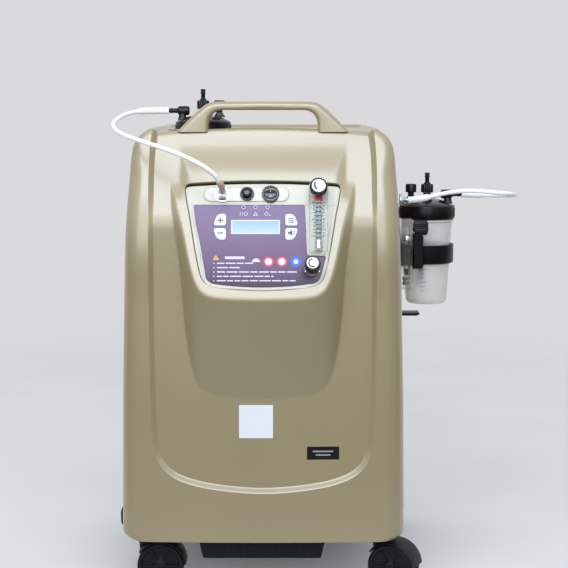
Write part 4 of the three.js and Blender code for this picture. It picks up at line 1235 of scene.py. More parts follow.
def fluted_grip(b, radius, height, flutes, depth, place, base):
    """A grip with soft flutes and rounded shoulders."""
    count = flutes * 8
    rows = []
    for shrink, h in ((1.6, 0.0), (0.6, 0.0), (0.15, 0.25), (0, 0.8), (0, height - 1.6), (0.3, height - 0.8),
                      (0.9, height - 0.25),
                      (1.7, height)):
        row = []
        for k in range(count):
            a = 2 * pi * k / count
            wave = 0.5 + 0.5 * cos(flutes * a)
            r = radius - shrink - depth * (1 - wave ** 0.6) * (1 if 0.3 < h < height - 0.5 else 0.6)
            row.append(place(r * cos(a), r * sin(a), base + h))
        rows.append(row)
    b.grid(rows, wrap=True)
    b.fill([rows[-1]])
    b.fill([rows[0]])


def flow_meter(prefix, place, bottom, top, knob_at, depth, tube_from, tube_to, float_at, knob_r, knob_h,
               float_body, knob_body,
               cap_material, collar, tube_r, glass):
    """Clear block with a bored taper tube, its scale, float, red collar and knob."""
    b = Build()
    outline = rect(-12.4, 12.4, bottom, top, 3.2, 6)
    b.prism(outline, 0.4, depth, place, 1.4, 4, 0.8)
    b.turned([(6.2, depth - 1), (6.2, depth + 2.4), (5.8, depth + 2.9), (2, depth + 2.9)],
             lambda x, y, h: place(x, knob_at + y, h), 40)
    b.object(f"{prefix}_block_clear", ACRYLIC, "cabinet", [f"{prefix}_flow_block"], "clear_block", 40)
    b = Build()
    path = [place(0, tube_from + (tube_to + 16 - tube_from) * k / 24, depth / 2 + 0.6) for k in range(25)]
    tube(b, path, lambda i, n: tube_r - 0.5 + 0.5 * i / n, 28)
    b.object(f"{prefix}_scale_tube", glass, "cabinet", slot="clear_block", angle=50)
    b = Build()
    b.turned([(0, 3), (4.6, 3), (5.4, 2.2), (5.4, -1.6), (4.6, -2.4), (4.6, -4.4), (5.4, -5), (5.4, -8),
              (4.8, -8.6), (0, -8.6)],
             lambda x, y, h: place(x, tube_from + h, depth / 2 + 0.6 + y), 36)
    b.object(f"{prefix}_tube_foot", CHROME, "cabinet", slot="chrome", angle=35)
    b = Build()
    b.turned([(4.8, -3), (5.5, -3), (5.9, -2.5), (5.9, 3.6), (5.5, 4.2), (4.8, 4.2), (4.8, -3)],
             lambda x, y, h: place(x, tube_to + h, depth / 2 + 0.6 + y), 36)
    b.object(f"{prefix}_tube_collar", collar, "cabinet", slot="chrome", angle=35)
    ticks = []
    steps = 10
    for k in range(steps + 1):
        v = tube_from + 7 + (tube_to - tube_from - 13) * k / steps
        long = 3.0 if k % 5 == 0 else 1.7
        ticks.append(rect(5.4, 5.4 + long, v - 0.6, v + 0.6, 0.1, 1))
        ticks.append(rect(-5.4 - long, -5.4, v - 0.6, v + 0.6, 0.1, 1))
    flat_marks_on(f"{prefix}_scale_marks", ticks, depth + 0.5, INK_AND_PAINTED_SHADOW, thick=0.15, place=place)
    marks = []
    for k in range(9):
        v = tube_from + 6 + (tube_to - tube_from - 12) * k / 8
        marks.append(rect(-3.6, 3.6, v - 0.85, v + 0.85, 0.1, 1))
    flat_marks_on(f"{prefix}_tube_rings", marks, depth / 2 + tube_r + 0.7, INK_AND_PAINTED_SHADOW, thick=0.15, place=place)
    b = Build()
    b.turned([(0, -4), (2.2, -3), (2.4, 1.2), (3.2, 3.4), (3.3, 4.6), (2.9, 5.0), (0, 5.0)],
             lambda x, y, h: place(x, float_at + h, depth / 2 + 0.6 + y), 32)
    b.object(f"{prefix}_float_bob", GLOSS_BLACK, float_body, [f"{prefix}_flow_float"], "black", 35)
    b = Build()
    start = depth + 3.3
    b.turned([(5.2, start - 2.5), (5.2, start + 0.6)], lambda x, y, h: place(x, knob_at + y, h), 32)
    fluted_grip(b, knob_r, knob_h - 1.2, 20, 0.9, lambda x, y, h: place(x, knob_at + y, h), start)
    b.object(f"{prefix}_knob_grip", KNOB, knob_body, [f"{prefix}_flow_knob"], "knob", 30)
    b = Build()
    b.turned([(knob_r - 2.9, start + knob_h - 1.6), (knob_r - 2.9, start + knob_h - 0.7),
              (knob_r - 3.3, start + knob_h - 0.2),
              (knob_r - 4.4, start + knob_h - 0.02), (0, start + knob_h)], lambda x, y,
              h: place(x, knob_at + y, h), 48)
    b.object(f"{prefix}_knob_cap", cap_material, knob_body, slot="knob", angle=35)


def on_meter(x, y, h):
    return face(74.7 + x, y, -3.0 + h)


def arrow(cu, cv, r, start, stop):
    """A curved arrow that shows which way to turn."""
    turns = [start + (stop - start) * k / 18 for k in range(19)]
    outer, inner = ([(cu + q * cos(a), cv + q * sin(a)) for a in turns] for q in (r + 1.2, r - 1.2))
    head = [(cu + (r + 2.2) * cos(stop), cv + (r + 2.2) * sin(stop)),
            (cu + r * cos(stop + 0.55), cv + r * sin(stop + 0.55)),
            (cu + (r - 2.2) * cos(stop), cv + (r - 2.2) * sin(stop))]
    return outer + head + inner[::-1]


flow_meter("front", on_meter, -46, 50, 40, 15, -33, 27, -24.5, 12, 12, "front_float", "front_knob", CAP_PALE,
           PRINT_RED, 4.6, TUBE_GLASS)
flat_marks_on("front_knob_arrow", [arrow(74.7, 40, 5.6, radians(250), radians(110))], 15 + 12 + 3.35, PRINT_DARK,
         "front_knob", 0.12)
flow_meter("side", wall, 418, 516, 503, 16, 432, 488, 441, 10.5, 19, "side_float", "side_knob", SATIN_BLACK,
           CHROME, 4.4, ACRYLIC)

# lock knob under the front meter
turned_face("lock_flange", [(7, -6), (10.8, -2.4), (10.8, 1.2), (10.3, 2.0), (8.6, 2.8), (8, 3.4), (8, 9),
                            (0, 9)], 66.3, -66.8, CHROME,
            "cabinet", ["lock_bush"], "chrome")
b = Build()
fluted_grip(b, 10.6, 16.4, 18, 0.9, lambda x, y, h: face(66.3 + x, -66.8 + y, h), 9.3)
b.object("lock_knob_grip", KNOB, "lock_knob", ["lock_knob"], "knob", 30)
turned_face("lock_knob_cap", [(8.4, 25.2), (8.4, 26.4), (8.0, 26.9), (7, 27.2), (0, 27.25)], 66.3, -66.8,
            CAP_PALE, "lock_knob", slot="knob")
flat_marks_on("lock_knob_arrow", [arrow(66.3, -66.8, 5.2, radians(300), radians(70))], 27.25, PRINT_DARK,
         "lock_knob", 0.12)
b = Build()
for k in range(3):
    a = radians(90 + 120 * k)
    b.turned([(1.3, 0), (1.3, 0.6), (0, 0.7)], lambda x, y, h,
             a=a: face(66.3 + 9.6 * cos(a) + x, -66.8 + 9.6 * sin(a) + y, 1.6 + h), 16)
b.object("lock_flange_pins", CHROME, "cabinet", slot="chrome", angle=35)

# ---------------------------------------------------------------- bottles


def bottle(side, axis, turn):
    """A humidifier bottle: jar, lid, nut and barb, relief cap, elbow. axis is the rim's top centre."""
    body, jar_body, nut_body = f"{side}_bottle", f"{side}_jar", f"{side}_nut"
    flip = -1 if turn else 1

    def place(x, y, z):
        return at(axis[0] + flip * x, axis[1] + flip * y, axis[2] + z)

    jar = [(0, -138.0), (20, -138.0), (24.5, -137.6), (26.6, -135.6), (27.6, -131), (32.6, -45), (33.1, -31),
           (33, -28), (32, -23.6),
           (32, -5), (33.6, -4.8), (34, -5.4), (34, -22.4), (35.3, -23), (35.7, -24.2), (35.5, -30),
           (29.6, -131), (28.8, -136),
           (27, -139), (24.5, -140), (22, -139.9), (20.5, -139.2), (0, -139.1)]
    b = Build()
    b.turned(jar, place, 96)
    b.object(f"{side}_jar_wall", JAR, jar_body, [f"{side}_jar"], "jar", 40)
    # moulded level lines, on the viewer's side
    b = Build()
    for k in range(12):
        z = -52 - 6.2 * k
        r = 35.5 + (29.6 - 35.5) * (-z - 30) / 101 + 0.04
        wide = radians(11 if k % 3 == 0 else 6)
        turns = [radians(-104) + wide * (i / 5 - 1) for i in range(11)]

        def line(radius, h):
            return [place(flip * radius * cos(a), flip * radius * sin(a), z + h) for a in turns]

        outside, inside_line = r + 0.06, r - 0.1
        b.grid([line(outside, -0.35), line(outside, 0.35), line(inside_line, 0.35), line(inside_line, -0.35),
                line(outside, -0.35)])
    b.object(f"{side}_level_lines", PRINT_NAVY, jar_body, slot="jar", angle=40)
    # lid
    lid = [(0, -3), (34.4, -3), (34.6, -3.4), (34.5, -18.8), (38.8, -18.8), (39.2, -18.2), (39.4, -16),
           (39.4, -1.9), (39.0, -0.6),
           (37.9, 0.2), (36.4, 0.6)]
    b = Build()
    b.turned(lid, place, 128)
    b.object(f"{side}_lid_rim", RIM, body, [f"{side}_lid"], "lid", 35)
    b = Build()
    for k in range(60):
        a = 2 * pi * k / 60
        rows = []
        for z, reach in ((-16.6, 0.0), (-15.8, 0.55), (-4.2, 0.55), (-3.4, 0.0)):
            rows.append([place((39.2 + reach * c) * cos(a + d), (39.2 + reach * c) * sin(a + d), z)
                         for d, c in ((-0.014, 0), (-0.007, 1), (0.007, 1), (0.014, 0))])
        b.grid(rows)
    b.object(f"{side}_lid_ribs", RIM, body, slot="lid", angle=40)
    dome = [(36.5, 0.5), (36.2, 1.3), (35.2, 2.2), (33, 3.3), (30, 4.5), (26, 5.9), (22, 7.1), (18, 8.3),
            (13, 9.3), (8.6, 9.8), (0, 10)]
    b = Build()
    b.turned(dome, place, 128)
    b.turned([(8.2, 9.2), (7.6, 10.6), (6.2, 11.4), (5.6, 12.4), (5.5, 17.5), (0, 17.5)], place, 48)
    b.turned([(8.8, 6.2), (7.6, 8.8), (6.4, 9.8), (6.0, 10.6), (6.0, 12), (0, 12)], lambda x, y,
             z: place(x - 23, y, z), 40)
    b.turned([(6.7, 0.8), (6.6, 4.4), (6.1, 5.8), (5.5, 6.4), (0, 6.5)], lambda x, y, z: place(x + 29.5, y, z),
             40)
    b.object(f"{side}_lid_dome", LID, body, slot="lid", angle=38)
    # dip tube and diffuser inside
    b = Build()
    path = [place(-8, 0, -2 - 104 * k / 12) for k in range(13)]
    tube(b, path, lambda i, n: 4.5, 28)
    b.object(f"{side}_dip_tube", TUBE_GLASS, body, slot="lid", angle=40)
    b = Build()
    b.turned([(0, -118), (5.6, -118), (6.4, -117), (6.4, -106), (5.4, -105), (0, -105)], lambda x, y,
             z: place(x - 8, y, z), 32)
    b.object(f"{side}_diffuser", CUFF, body, slot="lid", angle=40)
    if side == "side":
        b = Build()
        b.turned([(34.7, -22.3), (37.2, -22.3), (37.6, -21.9), (37.6, -19.6), (37.2, -19.2), (34.7, -19.2),
                  (34.7, -22.3)], place, 128)
        b.object("side_seal_ring", SEAL, body, ["side_seal"], "seal", 40)
    # outlet nut with its barb
    b = Build()
    fluted_grip(b, 8.7, 12.0, 14, 0.8, place, 17.9)
    b.object(f"{side}_nut_grip", KNOB, nut_body, [f"{side}_outlet_nut"], "black", 30)
    b = Build()
    b.turned([(4.8, 29.2), (4.6, 31.6), (3.6, 32.4), (3.0, 33), (3.0, 39), (3.9, 40.6), (3.6, 41.4), (3.1, 42),
              (3.1, 43.4), (3.8, 44.2),
              (3.0, 46), (1.9, 46), (1.8, 36), (0, 36)], place, 40)
    b.object(f"{side}_outlet_barb", KNOB, nut_body, slot="black", angle=30)
    # relief cap
    b = Build()
    b.turned([(4.4, 12.2), (4.4, 17.6), (5.6, 18.2), (7.2, 18.2), (7.8, 18.9), (7.7, 28.4), (7.2, 29.4),
              (6.2, 30.0), (0, 30.1)],
             lambda x, y, z: place(x - 23, y, z), 40)
    b.object(f"{side}_relief_knob", KNOB, body, [f"{side}_relief_cap"], "black", 35)
    # elbow that the hose pushes onto
    b = Build()
    b.turned([(5.6, 6.2), (5.4, 8.6), (5.0, 9.4), (5.0, 14)], lambda x, y, z: place(x + 29.5, y, z), 36)
    bend = [place(19.4 + 1.0 * k, 0, 15.5) for k in range(17)]
    tube(b, bend, lambda i, n: 6.5 * (1 - 0.28 * (1 - min(1, i / 2.5)) ** 2) * (1 - 0.2 * max(0,
        (i - 14) / 2) ** 2), 36)
    spigot = [(35, 4.4), (36.4, 3.8), (37, 3.5), (43.4, 3.2), (44.4, 3.9), (45, 3.8), (48.6, 3.0)]
    rows = []
    for x, r in spigot:
        rows.append([place(x, r * cos(2 * pi * k / 32), 15.5 + r * sin(2 * pi * k / 32)) for k in range(32)])
    b.grid(rows, wrap=True)
    b.fill([rows[-1]])
    b.object(f"{side}_elbow_body", KNOB, body, [f"{side}_elbow"], "black", 40)


bottle("side", (232.5, -60, 530), False)
bottle("top", (-86.3, -50, 648), True)


def bracket():
    """A moulded holder: ring round the jar, web, wall plate and the post in front."""
    b = Build()

    def on_side(x, y, z):
        return at(232.5 + x, -60 + y, z)

    ring = [(35.2, 448.6), (35.2, 474.6), (35.8, 475), (37.8, 475), (38.4, 474.4), (38.4, 451), (37.4, 448.6),
            (36, 448), (35.2, 448.6)]
    b.turned(ring, on_side, 96)
    b.object("bracket_ring", SATIN_BLACK, "cabinet", ["bottle_bracket"], "black", 38)
    b = Build()
    plate = rect(-100, -20, 440, 485, 5, 6)
    b.prism([(y, z) for y, z in plate], 189.5, 194.2, lambda y, z, x: at(x, y, z), 1.2, 3)
    web = rect(-90, -30, 450, 473, 2, 3)
    b.prism([(y, z) for y, z in web], 192, 199.5, lambda y, z, x: at(x, y, z), 0.8, 2)
    post = rounded([(208, 443, 3), (224, 443, 3), (224, 493, 8), (208, 493, 3)], 3, 6)
    b.prism(post, 97, 104, lambda x, z, h: at(x, -h, z), 1.2, 3, 0.6)
    root = rect(192, 212, 448, 473, 2, 4)
    b.prism(root, 98, 104, lambda x, z, h: at(x, -h, z), 0.8, 2, 0.4)
    b.object("bracket_plate", SATIN_BLACK, "cabinet", slot="black", angle=38)
    b = Build()
    for y, z in ((-93, 447), (-93, 478), (-27, 447), (-27, 478)):
        b.turned([(3.4, 0), (3.4, 0.9), (2.9, 1.4), (1.4, 1.6), (1.3, 0.9), (0, 0.9)], lambda x, h, c, y=y,
                 z=z: at(194.2 + c, y + x, z + h), 24)
    b.object("bracket_screws", STEEL, "cabinet", slot="chrome", angle=35)


bracket()

# side gas outlet
b = Build()
place_out = lambda x, y, h: at(185.2 + h, -108 + x, 540 + y)
b.turned([(9.2, 4.6), (9.2, 5.4), (8.6, 6.0), (5, 6.0)], place_out, 40)
rows = [[place_out(x, y, h) for x, y in circle(r, 0, 0, 6)] for r, h in ((6.8, 5.4), (6.8, 8.4), (6.3, 9.2))]
b.grid(rows, wrap=True)
b.fill([rows[-1]])
b.turned([(5.4, 9), (5.2, 9.8), (3.2, 10.6), (3.0, 11.4), (3.6, 12), (3.0, 13.6), (3.0, 15.8), (0, 16)],
         place_out, 36)
b.object("side_outlet_nozzle", CHROME, "cabinet", ["side_nozzle"], "chrome", 30)

# ---------------------------------------------------------------- casters


CASTER_X, CASTER_Y = 164, 150


def caster(where, sx, sy, turn):
    """A hooded twin-wheel caster on a swivelling stem."""
    c, s = cos(radians(turn)), sin(radians(turn))
    fork, wheels = f"fork_{where}", f"wheels_{where}"

    def place(x, y, z):
        return at(sx * CASTER_X + c * x - s * y, sy * CASTER_Y + s * x + c * y, z)

    def about(x, y, z):
        return place(20 + x, y, 32.5 + z)

    # stem, bearing collar and housing round the stem
    b = Build()
    b.turned([(11.0, 61.6), (11.2, 62.2), (11.2, 69.6), (10.6, 70.6), (5.5, 70.7), (5.5, 81.6), (4.9, 82),
              (0, 82)], place, 48)
    # hood: a curved shell over both wheels
    turns = [radians(4) + radians(142) * k / 36 for k in range(37)]

    def hood_row(radius, half):
        return [about(radius * cos(a), half, radius * sin(a)) for a in turns]

    widths = (19.9, 19.9, 19.2, 17.2, 0, -17.2, -19.2, -19.9, -19.9)
    radii = (33.5, 34.3, 35.4, 36.0, 36.0, 36.0, 35.4, 34.3, 33.5)
    rows = [hood_row(r, w) for r, w in zip(radii, widths)]
    rows += [hood_row(33.5, -17), hood_row(33.5, 17), rows[0]]
    b.grid(rows)
    for end in (0, -1):
        b.fill([[row[end] for row in rows[:9]] + [rows[9][end], rows[10][end]]])
    # web between the wheels, axle boss and neck
    neck = [(-30.5, 30), (-29, 10), (-20, -4), (-6, -9), (5, -8.5), (9.5, 0), (8, 9), (12, 20), (18, 28.5),
            (8, 33), (-8, 33), (-22, 35), (-30, 37)]
    outline = rounded(neck, 4, 4)
    b.prism(outline, -2.4, 2.4, lambda x, z, h: about(x, h, z), 0.7, 3, 0.7)
    b.object(f"caster_hood_{where}", CHASSIS, fork, [f"caster_fork_{where}"], "chassis", 38)
    b = Build()
    b.turned([(3.6, -18.6), (3.6, 18.6)], lambda x, z, h: about(x, h, z), 24)
    b.object(f"caster_axle_{where}", STEEL, wheels, slot="chrome", angle=35)
    # twin wheels: tread, rim, dished hub with spokes
    b = Build()
    for side in (-1, 1):
        place_wheel = lambda x, z, h, side=side: about(x, side * h, z)
        tread = [(28.0, 3.4), (30.4, 3.3), (31.6, 3.9), (32.3, 5.2), (32.5, 7.0), (32.5, 14.4), (32.3, 16.2),
                 (31.6, 17.5), (30.4, 18.1),
                 (28.6, 18.2), (27.8, 17.8)]
        b.turned(tread, place_wheel, 96)
    b.object(f"caster_tyres_{where}", TYRE, wheels, [f"caster_wheels_{where}"], "tyre", 40)
    b = Build()
    for side in (-1, 1):
        place_wheel = lambda x, z, h, side=side: about(x, side * h, z)
        hub = [(3.6, 3.3), (28.4, 3.4), (28.4, 17.9), (27.4, 18.0), (26.2, 17.2), (25.4, 15.4), (9.5, 14.6),
               (8.6, 15.2), (8.2, 17.6),
               (7.4, 18.2), (0, 18.3)]
        b.turned(hub, place_wheel, 80)
        for k in range(6):
            a = pi * k / 3
            rib = []
            for r in (8.4, 14, 20, 25.9):
                height = 17.6 - 1.4 * sin(pi * (r - 8.4) / 17.5)
                rib.append([place_wheel(r * cos(a) - d * sin(a), r * sin(a) + d * cos(a), h)
                            for d, h in ((-1.7, 14.4), (-1.1, height), (1.1, height), (1.7, 14.4))])
            b.grid(rib)
    b.object(f"caster_hubs_{where}", SATIN_BLACK, wheels, slot="tyre", angle=40)


for where, sx, sy, turn in (("front_left", -1, -1, 0), ("front_right", 1, -1, -25), ("rear_left", -1, 1, 0),
                            ("rear_right", 1, 1, 0)):
    caster(where, sx, sy, turn)

# ---------------------------------------------------------------- labels and small wall fittings


def surface_of(ob):
    return BVHTree.FromPolygons([v.co for v in ob.data.vertices], [p.vertices[:] for p in ob.data.polygons])


def label(name, x0, x1, z0, z1, material, corner_r=1.0, marks=()):
    """A thin sticker that follows the front shell. marks are plain bars printed on it."""
    outline = rect(x0, x1, z0, z1, corner_r, 4)

    def on_front(x, z, out):
        hit = FRONT_SURFACE.ray_cast(at(x, -260, z), Vector((0, 1, 0)))[0]
        return hit + Vector((0, -out / 1000, 0))

    for piece, shapes, out, look in ((name, [outline], 0.3, material),
                                     (f"{name}_bars", marks, 0.42, PRINT_GREY)):
        if not shapes:
            continue
        b = Build()
        for shape in shapes:
            top, foot = [on_front(x, z, out) for x, z in shape], [on_front(x, z, 0.05) for x, z in shape]
            b.fill([top])
            b.fill([foot])
            b.grid([foot, top], wrap=True)
        b.object(piece, look, "cabinet", slot="panel", angle=30, weld=1e-7)


FRONT_SURFACE = surface_of(bpy.data.objects["front_shell_skin"])
label("blank_label_white", -32.7, 13.6, 221, 267, LABEL_WHITE, 1.2)
label("blank_label_black", 60, 104, 191, 209, LABEL_BLACK, 0.8,
      [rect(68, 96, 201.4, 203.4, 0.5, 2), rect(72, 92, 196.4, 198.4, 0.5, 2)])


def side_fittings():
    # peg on the right wall that keeps the mains lead
    b = Build()
    outline = rounded([(194.4, 372, 1.2), (219, 372, 2), (222.5, 374, 2.4), (222.5, 376.6, 1.5),
                       (218, 376.2, 2), (197, 376.2, 2), (194.4, 376.2, 1)], 1.2, 4)
    b.prism(outline, -74, -46, lambda x, z, h: at(x, h, z), 1.4, 4, 1.4)
    b.prism(rect(-78, -42, 362, 386, 4, 6), 191.6, 195, lambda y, z, x: at(x, y, z), 1.0, 3)
    for z in (366, 382):
        b.turned([(2.6, 0.0), (2.6, 0.5), (2.2, 0.9), (1.0, 1.0), (0.9, 0.5), (0, 0.5)], lambda x, y, h,
                 z=z: at(194.8 + h, -60 + x, z + y), 20)
    b.object("cord_peg", SATIN_BLACK, "cabinet", ["cord_hook"], "black", 38)
    # rubber bumper low on the left wall
    b = Build()
    outline = rounded([(-201.6, 86, 4), (-201.6, 104, 4), (-198, 110, 2), (-196, 110, 0.4), (-196, 80, 0.4),
                       (-198, 80, 2)], 2, 5)
    b.prism(outline, -138, -102, lambda x, z, h: at(x, h, z), 2.4, 5, 2.4)
    b.object("wall_bumper", TYRE, "cabinet", ["side_bumper"], "black", 40)


def rear_fittings():
    # intake door: frame, five louvres and a lip behind
    def back(x, z, h):
        return at(x, 186.6 + h, z)

    b = Build()
    outer = rect(-71.5, 71.5, 380.5, 519.5, 5, 8)
    rows = [[back(x, z, h) for x, z in inset(outer, d)] for d,
            h in ((0, 0), (0, 2.2), (0.3, 2.9), (0.9, 3.3), (1.8, 3.4), (6.5, 3.4), (7.2, 3.1))]
    b.grid(rows, wrap=True)
    holes = [rect(-52, 52, 404 + 21 * i, 412 + 21 * i, 3.9, 6) for i in range(5)]
    b.fill([rows[-1]] + [[back(x, z, 3.1) for x, z in hole] for hole in holes])
    for hole in holes:
        b.grid([[back(x, z, h) for x, z in inset(hole, d)] for d,
                h in ((0, 3.1), (0.5, 2.7), (0.7, 2.2), (0.7, 0))], wrap=True)
    b.fill([rows[0]] + [[back(x, z, 0) for x, z in inset(hole, 0.7)] for hole in holes])
    b.grid([[back(x, z, h) for x, z in inset(outer, d)] for d,
            h in ((3.5, 0), (3.5, -2.6), (6.4, -2.6), (6.4, 0))], wrap=True)
    b.object("filter_door_louvres", PAINT, "filter_door", ["filter_door"], "shell", 35)
    b = Build()
    b.prism(rect(-64.5, 64.5, 387.5, 512.5, 2, 4), 173, 186, lambda x, z, y: at(x, y, z), 1.5, 3, 1.5)
    b.object("intake_foam", FOAM, "filter_door", ["intake_filter"], "foam", 40)
    # mains inlet with its flange, well and three pins
    b = Build()

    def rear(x, z, y):
        return at(x, y, z)

    flange = rounded([(92, 114, 6), (130, 114, 6), (130, 146, 6), (92, 146, 6)], 6, 7)
    hole = rounded([(100, 122, 1.5), (122, 122, 1.5), (122, 133.5, 2.5), (117.5, 138, 2.5), (104.5, 138, 2.5),
                    (100, 133.5, 2.5)], 2, 4)
    body = rect(97, 125, 119, 141, 2, 3)
    rows = [[rear(x, z, y) for x, z in inset(flange, d)] for d,
            y in ((0, 190.3), (0, 192.2), (0.5, 192.8), (1.2, 193))]
    b.grid(rows, wrap=True)
    b.fill([rows[-1], [rear(x, z, 193) for x, z in hole]])
    b.fill([rows[0], [rear(x, z, 190.3) for x, z in body]])
    walls = [[rear(x, z, y) for x, z in hole] for y in (193, 188, 173)]
    b.grid(walls, wrap=True)
    b.fill([walls[-1]])
    b.prism(body, 160, 190.4, rear, 0.3, 1)
    for x in (94.8, 127.2):
        b.turned([(1.9, 0), (1.9, 0.35), (1.5, 0.8), (0.6, 0.9), (0.5, 0.5), (0, 0.5)], lambda a, c, h,
                 x=x: at(x + a, 193 + h, 130 + c), 18)
    b.object("mains_inlet_well", SATIN_BLACK, "cabinet", ["power_inlet"], "black", 35)
    b = Build()
    for x, z in ((105, 127.5), (111, 131.5), (117, 127.5)):
        b.prism(rect(x - 1, x + 1, z - 1.8, z + 1.8, 0.3, 2), 173, 186, rear, 0.5, 2)
    b.object("mains_inlet_pins", STEEL, "cabinet", slot="chrome", angle=35)


def fan_place(x, y, h):
    return at(x, 150 + h, 230 + y)


def fan():
    b = Build()
    outer = [(44.2, 0.3), (44.8, 0), (49.2, 0), (50, 0.8), (50, 33.2), (49.2, 34), (45.6, 34), (44.6, 33.2),
             (44, 30), (44, 3), (44.2, 0.3)]
    b.turned(outer, fan_place, 96)
    b.turned([(2.3, 30), (13.2, 30), (14, 30.8), (14, 33.2), (13.2, 34), (2.3, 34), (2.3, 30)], fan_place, 48)
    b.turned([(27.8, 30.6), (28.4, 30), (29.6, 30), (30.2, 30.6), (30.2, 33.4), (29.6, 34), (28.4, 34),
              (27.8, 33.4), (27.8, 30.6)], fan_place, 96)
    for i in range(4):
        a = radians(45 + 90 * i)
        path = [fan_place(r * cos(a), r * sin(a), 32) for r in (12, 20, 28, 36, 46)]
        tube(b, path, lambda k, n: 1.9, 14)
    foot = rect(-30, 30, 84.3, 186, 2, 4)
    b.prism(foot, 154, 164, lambda x, z, y: at(x, y, z), 1.2, 3, 1.2)
    b.object("fan_housing", SATIN_BLACK, "cabinet", ["fan_frame"], "black", 38)
    b = Build()
    b.turned([(0, 4.2), (11.8, 4.2), (12.8, 5.2), (13, 7), (13, 24), (12.2, 25.6), (10, 26), (2, 26), (2, 33),
              (0, 33)], fan_place, 48)
    for i in range(7):
        a = 2 * pi * i / 7
        rows = []
        for k in range(9):
            r = 12.4 + 28 * k / 8
            pitch = radians(52 - 2.4 * k)
            chord = 8.2 + 0.8 * sin(pi * k / 8)
            sweep = a + 0.10 * (k / 8) ** 2
            row = []
            for s in range(13):
                t = -1 + 2 * (s if s <= 6 else 12 - s) / 6
                side = 1 if s <= 6 else -1
                thick = side * 0.75 * (1 - t * t) ** 0.5 if abs(t) < 1 else 0
                camber = 1.1 * (1 - t * t)
                across = chord * t
                e, h = across * cos(pitch) - (camber + thick) * sin(pitch), across * sin(pitch) + (camber +
                    thick) * cos(pitch)
                row.append(fan_place(r * cos(sweep) - e * sin(sweep), r * sin(sweep) + e * cos(sweep), 15 + h))
            rows.append(row)
        b.grid(rows)
        b.fill([rows[-1][:-1]])
    b.object("fan_impeller", SATIN_BLACK, "fan", ["fan_rotor"], "black", 40)


# ---------------------------------------------------------------- inner pieces and base


def base():
    """Deck plate, skid, tray and the four caster sockets."""
    b = Build()
    outline = rect(-180, 180, -182, 182, 16, 8)
    holes = [circle(6, sx * CASTER_X, sy * CASTER_Y, 24) for sx in (-1, 1) for sy in (-1, 1)]
    rows = [[at(x, y, z) for x, y in inset(outline, d)] for d,
            z in ((1, 80), (0.3, 80.3), (0, 81), (0, 83), (0.3, 83.7), (1, 84))]
    b.grid(rows, wrap=True)
    b.fill([rows[-1]] + [[at(x, y, 84) for x, y in hole] for hole in holes])
    b.fill([rows[0]] + [[at(x, y, 80) for x, y in hole] for hole in holes])
    for sx in (-1, 1):
        for sy in (-1, 1):
            b.turned([(6, 84), (6, 71), (12.2, 71), (13, 71.8), (13, 79), (13.8, 80.2)], lambda x, y, z, sx=sx,
                     sy=sy: at(sx * CASTER_X + x, sy * CASTER_Y + y, z), 40)
    b.prism(rounded([(-108, -178, 8), (105, -178, 8), (105, -70, 8), (-108, -70, 8)], 8, 6), 70.5, 80.4,
            lambda x, y, z: at(x, y, z), 0.3, 1, 1.6)
    tray = rounded([(-84, 45, 3), (80, 45, 3), (86, 71, 1), (-90, 71, 1)], 3, 5)
    b.prism(tray, 80, 172, lambda x, z, h: at(x, -h, z), 2, 4, 2)
    for i in range(7):
        x = -63 + 20 * i
        b.prism(rounded([(x, 49, 2), (x + 8, 49, 2), (x + 8, 66, 2), (x, 66, 2)], 2, 4), 171, 172.6, lambda x,
                z, h: at(x, -h, z), 0.4, 2)
    b.object("chassis_plate", CHASSIS, "cabinet", ["base_chassis"], "chassis", 35)


def inside():
    """The inner pieces keep their CAD shape and take finer finishes."""
    looks = {"compressor": CAST, "sieve_bed_left": CANISTER, "sieve_bed_right": CANISTER,
             "oxygen_tank": CANISTER, "valve_manifold": CAST}
    for name, look in looks.items():
        mesh = frame["nodes"][name].data
        mesh.materials.clear()
        mesh.materials.append(look)


side_fittings()
rear_fittings()
fan()
base()
inside()

# ---------------------------------------------------------------- floor and light


def stage():
    b = Build()
    rings = [[Vector((r * cos(2 * pi * k / 64), r * sin(2 * pi * k / 64), 0)) for k in range(64)]
             for r in (0.001, 0.4, 0.8, 1.2, 1.8, 2.6, 3.6)]
    b.grid(rings, wrap=True)
    m = Material("pale_floor")
    m.link(m.ramp(m.noise(3, 3), [(0.3, (0.75, 0.74, 0.71)), (0.7, (0.79, 0.78, 0.75))]),
           m.shader.inputs["Base Color"])
    m.link(m.remap(m.noise(30, 3), 0.55, 0.7), m.shader.inputs["Roughness"])
    # the floor's far edge melts into the background
    length = m.node("ShaderNodeVectorMath")
    length.operation = "LENGTH"
    away = m.node("ShaderNodeVectorMath")
    away.operation = "SUBTRACT"
    away.inputs[1].default_value = FLOOR_MIDDLE
    m.link(m.coords.outputs["Object"], away.inputs[0])
    m.link(away.outputs["Vector"], length.inputs[0])
    fade = m.node("ShaderNodeMapRange")
    fade.interpolation_type = "SMOOTHSTEP"
    fade.inputs["From Min"].default_value = 0.7
    fade.inputs["From Max"].default_value = 1.9
    m.link(length.outputs["Value"], fade.inputs["Value"])
    see_through = m.node("ShaderNodeBsdfTransparent")
    blend = m.node("ShaderNodeMixShader")
    m.link(fade.outputs["Result"], blend.inputs["Fac"])
    m.link(m.shader.outputs["BSDF"], blend.inputs[1])
    m.link(see_through.outputs["BSDF"], blend.inputs[2])
    m.link(blend.outputs["Shader"], m.out.inputs["Surface"])
    floor = b.object("floor", m.material, None)


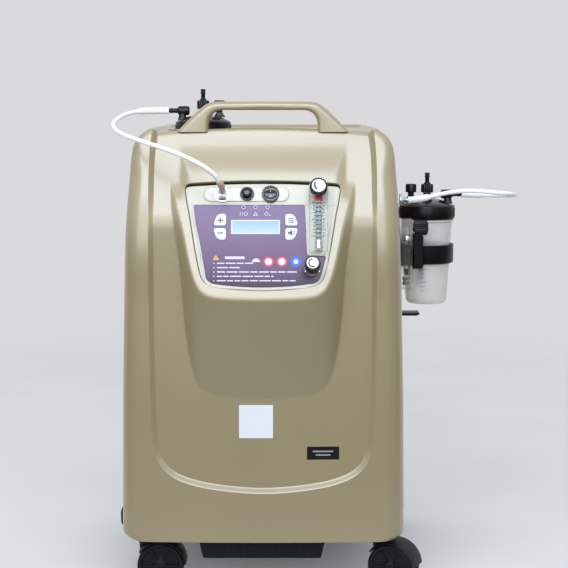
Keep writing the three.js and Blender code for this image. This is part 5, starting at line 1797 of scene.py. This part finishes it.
def studio():
    """A pale wall behind and a bright ceiling, with a dim warm room on the near side."""
    world = bpy.data.worlds.new("studio")
    scene.world = world
    world.use_nodes = True
    tree = world.node_tree
    coords = tree.nodes.new("ShaderNodeTexCoord")
    split = tree.nodes.new("ShaderNodeSeparateXYZ")
    tree.links.new(coords.outputs["Generated"], split.inputs["Vector"])

    def spread(axis, low, high):
        n = tree.nodes.new("ShaderNodeMapRange")
        n.interpolation_type = "SMOOTHSTEP"
        n.inputs["From Min"].default_value = low
        n.inputs["From Max"].default_value = high
        tree.links.new(split.outputs[axis], n.inputs["Value"])
        return n.outputs["Result"]

    ceiling = tree.nodes.new("ShaderNodeValToRGB")
    for element, (place, colour) in zip(ceiling.color_ramp.elements, ((0.0, NEAR), (1.0, CEILING))):
        element.position = place
        element.color = (*colour, 1)
    tree.links.new(spread("Z", *CEILING_FROM), ceiling.inputs["Fac"])
    mix = tree.nodes.new("ShaderNodeMix")
    mix.data_type = "RGBA"
    tree.links.new(spread("Y", *BACK_FROM), mix.inputs["Factor"])
    tree.links.new(ceiling.outputs["Color"], mix.inputs["A"])
    mix.inputs["B"].default_value = (*BACK, 1)
    tree.links.new(mix.outputs["Result"], tree.nodes["Background"].inputs["Color"])
    tree.nodes["Background"].inputs["Strength"].default_value = 1.0


def lamp(name, where, aim, size, power, colour=(1, 1, 1)):
    data = bpy.data.lights.new(name, "AREA")
    data.shape = "RECTANGLE"
    data.size, data.size_y = size
    data.energy = power
    data.color = colour
    ob = bpy.data.objects.new(name, data)
    scene.collection.objects.link(ob)
    ob.location = Vector(where)
    ob.rotation_euler = (Vector(aim) - Vector(where)).to_track_quat("-Z", "Y").to_euler()


FLOOR_MIDDLE = (0.0, 0.95, 0.0)
BACK = (0.70, 0.70, 0.715)
NEAR = (0.15, 0.14, 0.12)
CEILING = (0.90, 0.95, 1.05)
CEILING_FROM = (-0.1, 0.4)
BACK_FROM = (0.0, 0.5)
stage()
studio()
lamp("front_top", (-0.1, -0.95, 1.2), (0.0, -0.15, 0.5), (1.3, 0.5), 8.5, (0.83, 0.97, 1.2))
lamp("front_fill", (-0.2, -1.4, 0.85), (0.0, -0.15, 0.45), (1.6, 0.7), 6, (0.9, 0.98, 1.1))
